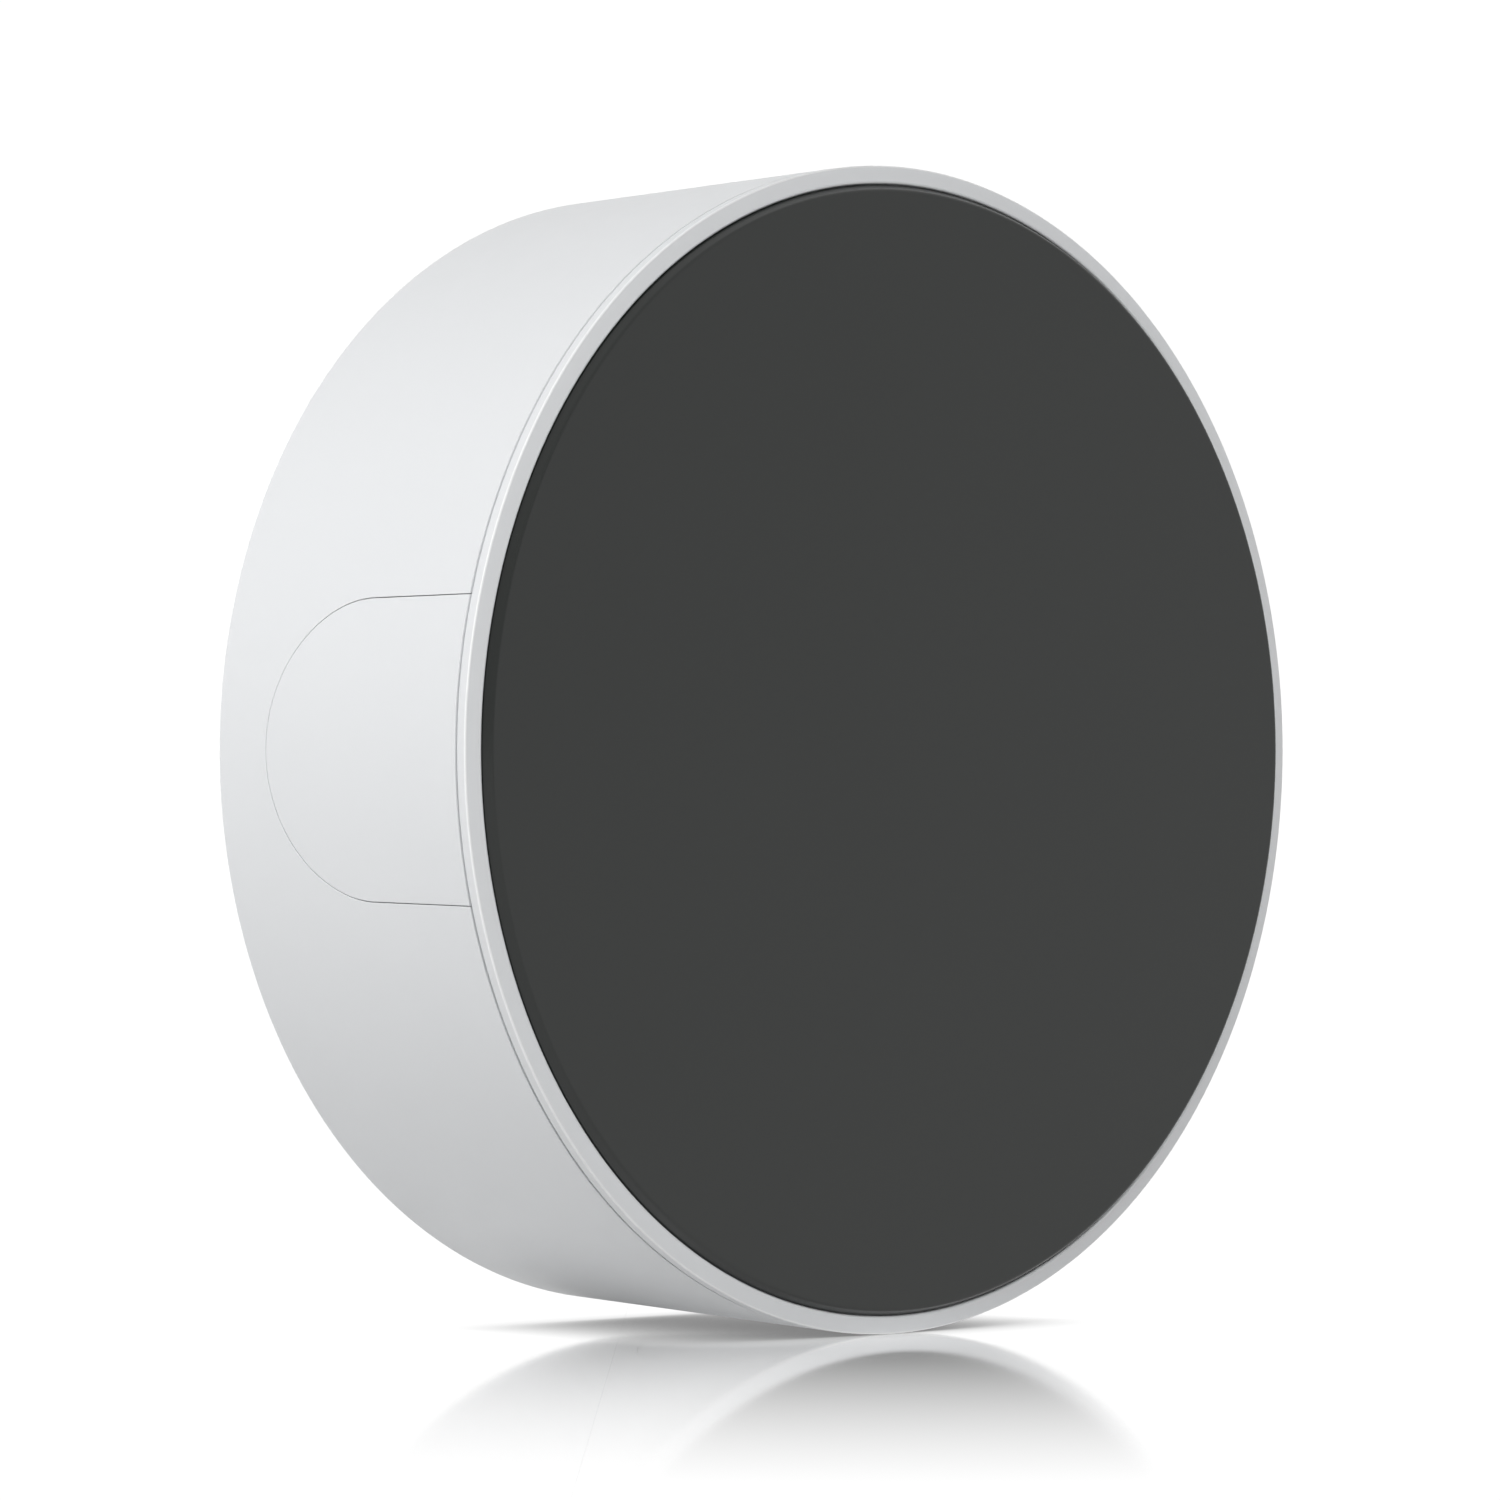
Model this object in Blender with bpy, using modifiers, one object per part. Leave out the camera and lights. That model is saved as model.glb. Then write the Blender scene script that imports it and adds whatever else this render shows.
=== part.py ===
"""Streaming media player: a short, slightly tapered drum with a smoked front window.

The drum's axis is Y and its front faces -Y. The origin is the centre of the rear pad's face.
Every part hangs on the empty "front_plane", so that a part's own y is its depth: how far it lies
behind the plane of the front rim's corner. The two cable ports, at 9 o'clock and at 6 o'clock,
have a frame each, in which x runs along the rim, y is the depth and z points out of the drum.
"""

import math

import bmesh
import bpy
from mathutils import Matrix, Vector

MM = 0.001
SEGMENTS = 64
BUTTON_STEPS = 24
SMALL_SEGMENTS = 16

# Gaps
SEAM = 0.15 * MM
FIT = 0.2 * MM
CONTACT = 0.1 * MM

# Casing
FRONT_RADIUS = 50.0 * MM
REAR_RADIUS = 48.36 * MM
CASE_DEPTH = 32.12 * MM
WALL = 1.8 * MM
CORNER = 0.3 * MM

# Front ring and window
BEZEL_DEPTH = 1.0 * MM
BEZEL_INNER_RADIUS = 48.5 * MM
BAND_RISE = 0.59 * MM
WINDOW_PROUD = 1.2 * MM
WINDOW_EDGE = 0.6 * MM
WINDOW_STEP_RADIUS = 47.1 * MM
WINDOW_STEP_DEPTH = 0.05 * MM
WINDOW_BACK = 0.8 * MM
GASKET_THICKNESS = 0.5 * MM
LEDGE_RADIUS = 44.5 * MM
LEDGE_THICKNESS = 1.0 * MM
SPIGOT_RADIUS = 47.95 * MM

# Front frame, which carries the boards and ties the front to the rear cover
FRAME_FRONT = 2.5 * MM
FRAME_THICKNESS = 1.5 * MM
FRAME_OUTER_RADIUS = 47.7 * MM
FRAME_INNER_RADIUS = 36.4 * MM
TOWER_CIRCLE = 41.3 * MM
TOWER_RADIUS = 3.2 * MM
BOSS_CIRCLE = 34.0 * MM
BOSS_RADIUS = 3.0 * MM
ARM_WIDTH = 4.4 * MM
DIAGONALS = [math.radians(45 + 90 * quarter) for quarter in range(4)]

# Screws, and the holes they go through or cut their thread in
SCREW_RADIUS = 1.0 * MM
SCREW_HOLE_RADIUS = 1.4 * MM
SCREW_HEAD_RADIUS = 2.2 * MM
SCREW_HEAD_TOP_RADIUS = 1.6 * MM
SCREW_HEAD_HEIGHT = 0.9 * MM
SCREW_HEAD_SIDE = 0.5 * MM
SCREW_POINT = 0.6 * MM
SCREW_SEAT_RADIUS = 2.5 * MM
BOARD_SCREW_REACH = 5.0 * MM
REAR_SCREW_REACH = 7.5 * MM
TOWER_HOLE_DEPTH = 9.0 * MM
BOSS_HOLE_RADIUS = 1.25 * MM
BOSS_HOLE_DEPTH = 6.0 * MM

# Rear cover
REAR_COVER_FRONT = 30.1 * MM
REAR_COVER_BACK = 31.75 * MM
REAR_COVER_RADIUS = 46.45 * MM
REAR_LEDGE_RADIUS = 44.9 * MM
REAR_LEDGE_THICKNESS = 1.1 * MM
PAD_RADIUS = 27.0 * MM
PAD_PROUD = 0.8 * MM
VENT_INNER_RADIUS = 29.5 * MM
VENT_OUTER_RADIUS = 40.5 * MM
VENT_WIDTH = 2.0 * MM
VENT_PITCH = math.radians(9)
VENTS_PER_GROUP = 7

# Cable ports
PORT_HALF_WIDTH = 12.60 * MM
PORT_ROUND_CENTRE = 13.20 * MM
PORT_FLARE = 0.015
COVER_LEG_X = 10.6 * MM
COVER_LEG_THICKNESS = 1.6 * MM
COVER_LEG_DEPTHS = (8.0 * MM, 16.0 * MM)
COVER_LEG_SPAN = (42.5 * MM, 47.3 * MM)
BAY_HALF_WIDTH = 13.2 * MM
BAY_WALL = 1.2 * MM
BAY_FRONT = 4.2 * MM
BAY_FLOOR = 36.0 * MM
OUTSIDE = 53.0 * MM

# Main board
BOARD_FRONT = 15.5 * MM
BOARD_THICKNESS = 1.1 * MM
BOARD_BACK = BOARD_FRONT + BOARD_THICKNESS
BOARD_RADIUS = 37.6 * MM
BOARD_PORT_EDGE = 35.4 * MM

# Pairing button, in the rear cover at 12 o'clock
BUTTON_Z = 32.0 * MM
BUTTON_RADIUS = 2.7 * MM
BUTTON_FLANGE_RADIUS = 3.7 * MM
BUTTON_STEM_RADIUS = 1.4 * MM
BUTTON_TRAVEL = 0.5 * MM
PLUNGER_RADIUS = 1.6 * MM
PLUNGER_TOP = 21.2 * MM
PLUNGER_LENGTH = 2.2 * MM
SWITCH_SIZE = (6.0 * MM, 6.0 * MM)
SWITCH_HEIGHT = 3.4 * MM

# Finishes: colour, roughness and metallic value
FINISHES = {
    "white_casing": ((0.82, 0.83, 0.83), 0.45, 0.0),
    "smoked_window": ((0.055, 0.058, 0.057), 0.38, 0.0),
    "black_plastic": ((0.03, 0.03, 0.032), 0.55, 0.0),
    "black_foam": ((0.025, 0.025, 0.025), 0.95, 0.0),
    "grey_rubber": ((0.16, 0.165, 0.17), 0.85, 0.0),
    "steel": ((0.62, 0.62, 0.63), 0.32, 1.0),
    "aluminium": ((0.72, 0.73, 0.74), 0.38, 1.0),
    "circuit_board": ((0.02, 0.13, 0.06), 0.5, 0.0),
    "chip_epoxy": ((0.035, 0.035, 0.038), 0.6, 0.0),
    "thermal_silicone": ((0.42, 0.52, 0.62), 0.85, 0.0),
    "clear_plastic": ((0.85, 0.87, 0.88), 0.2, 0.0),
    "ribbon_film": ((0.55, 0.28, 0.07), 0.4, 0.0),
    "cable_jacket": ((0.05, 0.05, 0.055), 0.5, 0.0),
}


def case_radius(depth):
    """Outer radius of the tapered casing at a depth."""
    return FRONT_RADIUS - (FRONT_RADIUS - REAR_RADIUS) * depth / CASE_DEPTH


def make_collections():
    made = []
    for name in ("streaming_media_player", "cutters"):
        collection = bpy.data.collections.new(name)
        bpy.context.scene.collection.children.link(collection)
        made.append(collection)
    return made


def make_empty(name, parent=None, location=(0, 0, 0), turn=0.0):
    """An empty to hang parts on, turned about the drum's axis."""
    empty = bpy.data.objects.new(name, None)
    empty.parent = parent
    empty.location = location
    empty.rotation_euler.y = turn
    PARTS.objects.link(empty)
    return empty


def place(name, mesh, finish, parent, location=(0, 0, 0)):
    """A part with its finish or, where that is None, a hidden cutter."""
    obj = bpy.data.objects.new(name, mesh)
    obj.parent = parent
    obj.location = location
    if finish is None:
        obj.hide_render = True
        obj.display_type = "WIRE"
        CUTTERS.objects.link(obj)
        return obj
    colour, roughness, metallic = FINISHES[finish]
    material = bpy.data.materials.new(name + "_" + finish)
    material.use_nodes = True
    shader = material.node_tree.nodes["Principled BSDF"]
    shader.inputs["Base Color"].default_value = (*colour, 1.0)
    shader.inputs["Roughness"].default_value = roughness
    shader.inputs["Metallic"].default_value = metallic
    mesh.materials.append(material)
    PARTS.objects.link(obj)
    return obj


def mesh_of(name, bm):
    mesh = bpy.data.meshes.new(name)
    bm.to_mesh(mesh)
    bm.free()
    return mesh


def add_cube(bm, low, high, turn=0.0):
    """Add a box between two corners to a bmesh, then turn it about the drum's axis."""
    low, high = Vector(low), Vector(high)
    size = Matrix.Diagonal((*(high - low), 1.0))
    shape = Matrix.Rotation(turn, 4, "Y") @ Matrix.Translation((low + high) / 2) @ size
    bmesh.ops.create_cube(bm, size=1.0, matrix=shape)


def box(name, low, high, finish=None, parent=None):
    """A box between two corners, with its origin at its centre."""
    centre = (Vector(low) + Vector(high)) / 2
    bm = bmesh.new()
    add_cube(bm, Vector(low) - centre, Vector(high) - centre)
    return place(name, mesh_of(name, bm), finish, parent or FRONT_PLANE, centre)


def turned(name, profile, finish=None, x=0.0, z=0.0, steps=SEGMENTS, parent=None):
    """A solid turned about an axis along Y, from the (radius, depth) points of half its section."""
    count = len(profile)
    pairs = zip(profile, profile[1:] + profile[:1])
    if sum(a[0] * b[1] - b[0] * a[1] for a, b in pairs) > 0:
        profile = profile[::-1]
    solid_core = profile[0][0] == 0 and profile[-1][0] == 0
    edges = [(index, (index + 1) % count) for index in range(count - solid_core)]
    mesh = bpy.data.meshes.new(name)
    mesh.from_pydata([(radius, 0.0, depth) for radius, depth in profile], edges, [])
    obj = place(name, mesh, finish, parent or FRONT_PLANE, (x, 0.0, z))
    obj.rotation_euler.x = -math.pi / 2
    screw = obj.modifiers.new("Turn", "SCREW")
    screw.steps = screw.render_steps = steps
    screw.use_merge_vertices = True
    screw.merge_threshold = 0.00001
    return obj


def rod(name, radius, start, end, finish=None, x=0.0, z=0.0, steps=SMALL_SEGMENTS, parent=None):
    """A plain cylinder along Y between two depths."""
    profile = [(0.0, end), (radius, end), (radius, start), (0.0, start)]
    return turned(name, profile, finish, x, z, steps, parent)


def mesh_from_curve(name, curve):
    """The closed mesh of a curve, with its caps welded on."""
    guide = bpy.data.objects.new(name, curve)
    CUTTERS.objects.link(guide)
    graph = bpy.context.evaluated_depsgraph_get()
    bm = bmesh.new()
    bm.from_mesh(bpy.data.meshes.new_from_object(guide.evaluated_get(graph)))
    bpy.data.objects.remove(guide)
    bmesh.ops.remove_doubles(bm, verts=bm.verts, dist=0.000001)
    return mesh_of(name, bm)


def flat_outline(name, outline, thickness):
    """A curve that fills an outline in its own XY plane, with this thickness about that plane."""
    curve = bpy.data.curves.new(name, "CURVE")
    curve.dimensions = "2D"
    curve.fill_mode = "BOTH"
    curve.extrude = thickness / 2
    spline = curve.splines.new("POLY")
    spline.points.add(len(outline) - 1)
    for point, (across, along) in zip(spline.points, outline):
        point.co = (across, along, 0.0, 1.0)
    spline.use_cyclic_u = True
    return curve


def prism(name, outline, low, high, finish=None, parent=None, location=(0, 0, 0)):
    """An outline in the XY plane of its parent, extruded along z from low to high."""
    mesh = mesh_from_curve(name, flat_outline(name, outline, high - low))
    mesh.transform(Matrix.Translation((0.0, 0.0, (low + high) / 2)))
    return place(name, mesh, finish, parent or FRONT_PLANE, location)


def cable(name, route, radius, finish):
    """A round wire along a smooth route."""
    curve = bpy.data.curves.new(name, "CURVE")
    curve.dimensions = "3D"
    curve.bevel_depth = radius
    curve.bevel_resolution = 2
    curve.use_fill_caps = True
    spline = curve.splines.new("POLY")
    spline.points.add(len(route) - 1)
    for point, stop in zip(spline.points, route):
        point.co = (*stop, 1.0)
    return place(name, mesh_from_curve(name, curve), finish, FRONT_PLANE)


def smooth_route(corners, steps=4):
    """Points of a Catmull-Rom curve through the corners."""
    corners = [Vector(corner) for corner in corners]
    padded = [2 * corners[0] - corners[1], *corners, 2 * corners[-1] - corners[-2]]
    route = []
    for before, start, end, after in zip(padded, padded[1:], padded[2:], padded[3:]):
        for step in range(steps):
            t = step / steps
            route.append(
                start
                + (end - before) * (t / 2)
                + (2 * before - 5 * start + 4 * end - after) * (t**2 / 2)
                + (3 * start - before - 3 * end + after) * (t**3 / 2)
            )
    return [*route, corners[-1]]


def combine(obj, operation, *others):
    """Cut the others from a part, join them to it, or keep only what they share with it."""
    for other in others:
        boolean = obj.modifiers.new(other.name, "BOOLEAN")
        boolean.operation = operation
        boolean.object = other
    return obj


def smooth(*objects):
    """Shade round pieces smooth."""
    for obj in objects:
        for modifier in obj.modifiers:
            if modifier.type == "SCREW":
                modifier.use_smooth_shade = True
        obj.data.shade_smooth()


def on_circle(radius, angle):
    """x and z of a point at this radius, at an angle counted from 3 o'clock."""
    return radius * math.cos(angle), radius * math.sin(angle)


# ---------------------------------------------------------------- front


def make_bezel_ring():
    """White front ring: a sloping band, a shelf for the window, and a spigot into the casing."""
    ledge_front = WINDOW_BACK + GASKET_THICKNESS + CONTACT
    ledge_back = ledge_front + LEDGE_THICKNESS
    profile = [
        (FRONT_RADIUS, CORNER / 2),
        (case_radius(BEZEL_DEPTH), BEZEL_DEPTH),
        (SPIGOT_RADIUS, BEZEL_DEPTH),
        (SPIGOT_RADIUS, ledge_back),
        (LEDGE_RADIUS, ledge_back),
        (LEDGE_RADIUS, ledge_front),
        (WINDOW_STEP_RADIUS, ledge_front),
        (WINDOW_STEP_RADIUS, WINDOW_STEP_DEPTH),
        (BEZEL_INNER_RADIUS, WINDOW_STEP_DEPTH),
        (BEZEL_INNER_RADIUS, -BAND_RISE),
        (FRONT_RADIUS - CORNER, -CORNER / 2),
    ]
    return turned("bezel_ring", profile, "white_casing")


def make_front_window():
    """Smoked disc with a rounded front edge and a smaller step behind it that centres it."""
    rim = BEZEL_INNER_RADIUS - SEAM
    step_rim = WINDOW_STEP_RADIUS - SEAM
    step_front = WINDOW_STEP_DEPTH - SEAM
    profile = [(0.0, WINDOW_BACK), (step_rim, WINDOW_BACK), (step_rim, step_front), (rim, step_front)]
    for step in range(4):
        angle = math.radians(90 * step / 3)
        radius = rim - WINDOW_EDGE * (1 - math.cos(angle))
        profile.append((radius, -WINDOW_PROUD + WINDOW_EDGE * (1 - math.sin(angle))))
    return turned("front_window", [*profile, (0.0, -WINDOW_PROUD)], "smoked_window")


def make_window_gasket():
    """Foam ring between the window and the front ring's ledge."""
    outer = WINDOW_STEP_RADIUS - SEAM
    front, back = WINDOW_BACK + CONTACT / 2, WINDOW_BACK + CONTACT / 2 + GASKET_THICKNESS
    profile = [(outer, front), (outer, back), (LEDGE_RADIUS, back), (LEDGE_RADIUS, front)]
    return turned("window_gasket", profile, "black_foam")


def make_front_frame():
    """Dark ring with four towers for the rear cover's screws and four bosses for the board's."""
    back = FRAME_FRONT + FRAME_THICKNESS
    inside = FRAME_FRONT + FRAME_THICKNESS / 2
    profile = [
        (FRAME_OUTER_RADIUS, FRAME_FRONT),
        (FRAME_OUTER_RADIUS, back),
        (FRAME_INNER_RADIUS, back),
        (FRAME_INNER_RADIUS, FRAME_FRONT),
    ]
    frame = turned("front_frame", profile, "black_plastic")
    arms = bmesh.new()
    for angle in DIAGONALS:
        low = (BOSS_CIRCLE - BOSS_RADIUS / 2, FRAME_FRONT + FIT, -ARM_WIDTH / 2)
        high = (FRAME_INNER_RADIUS + ARM_WIDTH / 2, back - FIT, ARM_WIDTH / 2)
        add_cube(arms, low, high, angle)
    combine(frame, "UNION", place("frame_arms", mesh_of("frame_arms", arms), None, FRONT_PLANE))
    for number, angle in enumerate(DIAGONALS, 1):
        tower_x, tower_z = on_circle(TOWER_CIRCLE, angle)
        boss_x, boss_z = on_circle(BOSS_CIRCLE, angle)
        tower_end, boss_end = REAR_COVER_FRONT - CONTACT, BOARD_FRONT - CONTACT
        tower = rod(f"tower_{number}", TOWER_RADIUS, inside, tower_end, None, tower_x, tower_z)
        boss = rod(f"boss_{number}", BOSS_RADIUS, inside, boss_end, None, boss_x, boss_z)
        floor = tower_end - TOWER_HOLE_DEPTH
        tower_hole = rod(
            f"tower_hole_{number}", SCREW_HOLE_RADIUS, floor, tower_end + MM, None, tower_x, tower_z
        )
        floor = boss_end - BOSS_HOLE_DEPTH
        boss_hole = rod(
            f"boss_hole_{number}", BOSS_HOLE_RADIUS, floor, boss_end + MM, None, boss_x, boss_z
        )
        combine(frame, "UNION", tower, boss)
        combine(frame, "DIFFERENCE", tower_hole, boss_hole)
    return frame


# ---------------------------------------------------------------- casing and cable ports


def port_outline(half_width, front, flare=0.0, steps=20):
    """Straight sides from the front, spread there by the flare, and a half-round end."""
    front_half_width = half_width + flare * (PORT_ROUND_CENTRE - front)
    points = [(front_half_width, front), (-front_half_width, front)]
    for step in range(steps + 1):
        angle = math.pi - math.pi * step / steps
        along = PORT_ROUND_CENTRE + half_width * math.sin(angle)
        points.append((half_width * math.cos(angle), along))
    return points


def make_body_shell(ports):
    """Tapered drum wall with a ledge for the rear cover and a notch for each port cover."""
    front = BEZEL_DEPTH + SEAM
    ledge_front = REAR_COVER_FRONT - CONTACT - REAR_LEDGE_THICKNESS
    rib_start = ledge_front - WALL
    rim_radius = REAR_COVER_RADIUS + SEAM
    profile = [
        (case_radius(front), front),
        (REAR_RADIUS, CASE_DEPTH),
        (rim_radius, CASE_DEPTH),
        (rim_radius, REAR_COVER_FRONT - CONTACT),
        (REAR_LEDGE_RADIUS, REAR_COVER_FRONT - CONTACT),
        (REAR_LEDGE_RADIUS, ledge_front),
        (case_radius(rib_start) - WALL, rib_start),
        (case_radius(front) - WALL, front),
    ]
    shell = turned("body_shell", profile, "white_casing")
    for port in ports:
        outline = port_outline(PORT_HALF_WIDTH + SEAM, -MM, PORT_FLARE)
        notch = prism(port.name + "_notch", outline, BAY_FLOOR, OUTSIDE, None, port)
        combine(shell, "DIFFERENCE", notch)
    return shell


def make_port_cover(name, port):
    """Flush cover that pulls straight out of its notch, with two legs that grip the bay."""
    front = BEZEL_DEPTH + SEAM
    back = PORT_ROUND_CENTRE + PORT_HALF_WIDTH + MM
    outline = port_outline(PORT_HALF_WIDTH, front, PORT_FLARE)
    cover = prism(name, outline, BAY_FLOOR, OUTSIDE, "white_casing", port)
    wall_profile = [
        (case_radius(0.0), 0.0),
        (case_radius(back), back),
        (case_radius(back) - WALL, back),
        (case_radius(0.0) - WALL, 0.0),
    ]
    combine(cover, "INTERSECT", turned(name + "_wall", wall_profile))
    for side in (-1, 1):
        inner = side * COVER_LEG_X - COVER_LEG_THICKNESS / 2
        low = (inner, COVER_LEG_DEPTHS[0], COVER_LEG_SPAN[0])
        high = (inner + COVER_LEG_THICKNESS, COVER_LEG_DEPTHS[1], COVER_LEG_SPAN[1])
        combine(cover, "UNION", box(f"{name}_leg_{side + 2}", low, high, None, port))
    return cover


def make_port_bay(name, port, windows):
    """Dark tub behind a cover: walls that follow the notch, and a floor with the sockets' windows."""
    cavity_back = PORT_ROUND_CENTRE + BAY_HALF_WIDTH + MM
    outer = port_outline(BAY_HALF_WIDTH, BAY_FRONT)
    inner = port_outline(BAY_HALF_WIDTH - BAY_WALL, BAY_FRONT + BAY_WALL)
    bay = prism(name, outer, BAY_FLOOR, OUTSIDE, "black_plastic", port)
    cavity_profile = [
        (0.0, 0.0),
        (case_radius(0.0) - WALL - FIT, 0.0),
        (case_radius(cavity_back) - WALL - FIT, cavity_back),
        (0.0, cavity_back),
    ]
    combine(bay, "INTERSECT", turned(name + "_cavity", cavity_profile))
    recess = prism(name + "_recess", inner, BAY_FLOOR + BAY_WALL, OUTSIDE + MM, None, port)
    combine(bay, "DIFFERENCE", recess)
    for number, (low, high) in enumerate(windows, 1):
        low, high = (*low, BAY_FLOOR - MM), (*high, BAY_FLOOR + BAY_WALL + MM)
        combine(bay, "DIFFERENCE", box(f"{name}_window_{number}", low, high, None, port))
    return bay


# ---------------------------------------------------------------- sockets

HDMI_SIZE = (15.0 * MM, 5.6 * MM)
HDMI_SPAN = (26.5 * MM, 38.2 * MM)
HDMI_WALL = 0.5 * MM
HDMI_SLANT = 1.9 * MM
HDMI_TONGUE = (11.0 * MM, 1.0 * MM)
ETHERNET_SIZE = (16.0 * MM, 11.4 * MM)
ETHERNET_SPAN = (17.7 * MM, BAY_FLOOR - FIT)
ETHERNET_MOUTH = (12.0 * MM, 8.2 * MM)
ETHERNET_MOUTH_CENTRE = 9.6 * MM
ETHERNET_MOUTH_DEPTH = 13.0 * MM
ETHERNET_LATCH = (6.2 * MM, 1.2 * MM)
USB_C_SIZE = (9.0 * MM, 3.2 * MM)
USB_C_SPAN = (30.8 * MM, 38.2 * MM)
USB_C_WALL = 0.33 * MM
USB_C_TONGUE = (6.6 * MM, 0.7 * MM)
HDMI_CENTRE = BOARD_FRONT - CONTACT - HDMI_SIZE[1] / 2
USB_C_CENTRE = BOARD_BACK + CONTACT + USB_C_SIZE[1] / 2


def hdmi_outline(inset):
    """Flat-backed outline whose front corners are cut at a slant."""
    half, top = HDMI_SIZE[0] / 2 - inset, HDMI_CENTRE + HDMI_SIZE[1] / 2 - inset
    bottom = HDMI_CENTRE - HDMI_SIZE[1] / 2 + inset
    return [
        (half, top),
        (-half, top),
        (-half, bottom + HDMI_SLANT),
        (-half + HDMI_SLANT, bottom),
        (half - HDMI_SLANT, bottom),
        (half, bottom + HDMI_SLANT),
    ]


def usb_c_outline(inset, steps=8):
    """Round-ended outline."""
    radius = USB_C_SIZE[1] / 2 - inset
    half = USB_C_SIZE[0] / 2 - USB_C_SIZE[1] / 2
    points = []
    for side in (1, -1):
        for step in range(steps + 1):
            angle = side * math.pi / 2 - math.pi * step / steps
            points.append((side * half + radius * math.cos(angle), USB_C_CENTRE + radius * math.sin(angle)))
    return points


def make_socket(name, port, outline, wall, span, tongue_size, centre):
    """Steel socket with an open mouth and a contact tongue that stands on its back wall."""
    socket = prism(name, outline(0.0), *span, "steel", port)
    mouth = prism(name + "_mouth", outline(wall), span[0] + 2 * wall, OUTSIDE, None, port)
    combine(socket, "DIFFERENCE", mouth)
    half_width, half_height = tongue_size[0] / 2, tongue_size[1] / 2
    low = (-half_width, centre - half_height, span[0] + wall)
    high = (half_width, centre + half_height, span[1] - MM)
    combine(socket, "UNION", box(name + "_tongue", low, high, None, port))
    return socket


def make_sockets(left_port, bottom_port):
    hdmi = (hdmi_outline, HDMI_WALL, HDMI_SPAN, HDMI_TONGUE, HDMI_CENTRE)
    make_socket("hdmi_socket", left_port, *hdmi)
    usb_c = (usb_c_outline, USB_C_WALL, USB_C_SPAN, USB_C_TONGUE, USB_C_CENTRE)
    make_socket("usb_c_socket", bottom_port, *usb_c)
    make_ethernet_socket(bottom_port)


def ethernet_windows():
    """Corners, seen from outside, of the plug's hole and of the latch's slot that opens off it."""
    half_mouth, half_height = ETHERNET_MOUTH[0] / 2, ETHERNET_MOUTH[1] / 2
    back = ETHERNET_MOUTH_CENTRE + half_height
    half_latch = ETHERNET_LATCH[0] / 2
    return [
        ((-half_mouth, ETHERNET_MOUTH_CENTRE - half_height), (half_mouth, back)),
        ((-half_latch, back - MM), (half_latch, back + ETHERNET_LATCH[1])),
    ]


def make_ethernet_socket(port):
    """Low block with the plug's hole, and the narrower slot that takes the plug's latch."""
    half_width = ETHERNET_SIZE[0] / 2
    back = BOARD_FRONT - CONTACT
    low = (-half_width, back - ETHERNET_SIZE[1], ETHERNET_SPAN[0])
    high = (half_width, back, ETHERNET_SPAN[1])
    socket = box("ethernet_socket", low, high, "black_plastic", port)
    floor = ETHERNET_SPAN[1] - ETHERNET_MOUTH_DEPTH
    for number, (hole_low, hole_high) in enumerate(ethernet_windows(), 1):
        hole = box(f"ethernet_hole_{number}", (*hole_low, floor), (*hole_high, OUTSIDE), None, port)
        combine(socket, "DIFFERENCE", hole)
    return socket


# ---------------------------------------------------------------- boards and what they carry


def make_main_board():
    """Round board with flat edges behind the ports and four screw holes."""
    board = rod("main_board", BOARD_RADIUS, BOARD_FRONT, BOARD_BACK, "circuit_board", steps=SEGMENTS)
    edge = -BOARD_PORT_EDGE
    far = -OUTSIDE
    left = box("board_left_edge", (far, BOARD_FRONT - MM, far), (edge, BOARD_BACK + MM, -far))
    bottom = box("board_bottom_edge", (far, BOARD_FRONT - MM, far), (-far, BOARD_BACK + MM, edge))
    combine(board, "DIFFERENCE", left, bottom)
    for number, angle in enumerate(DIAGONALS, 1):
        x, z = on_circle(BOSS_CIRCLE, angle)
        low, high = BOARD_FRONT - MM, BOARD_BACK + MM
        hole = rod(f"board_hole_{number}", SCREW_HOLE_RADIUS, low, high, None, x, z)
        combine(board, "DIFFERENCE", hole)
    return board


def on_board(name, centre, size, height, finish, front_side=False):
    """A block that stands on the main board, centred at this x and z."""
    low_x, low_z = centre[0] - size[0] / 2, centre[1] - size[1] / 2
    start = BOARD_FRONT - CONTACT - height if front_side else BOARD_BACK + CONTACT
    return box(
        name, (low_x, start, low_z), (low_x + size[0], start + height, low_z + size[1]), finish
    )


PROCESSOR_CENTRE = (-2.0 * MM, -4.0 * MM)
PROCESSOR_SIZE = (15.0 * MM, 15.0 * MM)
PROCESSOR_HEIGHT = 1.2 * MM
THERMAL_PAD_SIZE = (14.0 * MM, 14.0 * MM)
THERMAL_PAD_HEIGHT = 0.8 * MM
HEAT_SINK_SIZE = (34.0 * MM, 30.0 * MM)
HEAT_SINK_BASE = 2.0 * MM
HEAT_SINK_HEIGHT = 9.0 * MM
FIN_COUNT = 9
FIN_THICKNESS = 1.2 * MM


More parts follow.
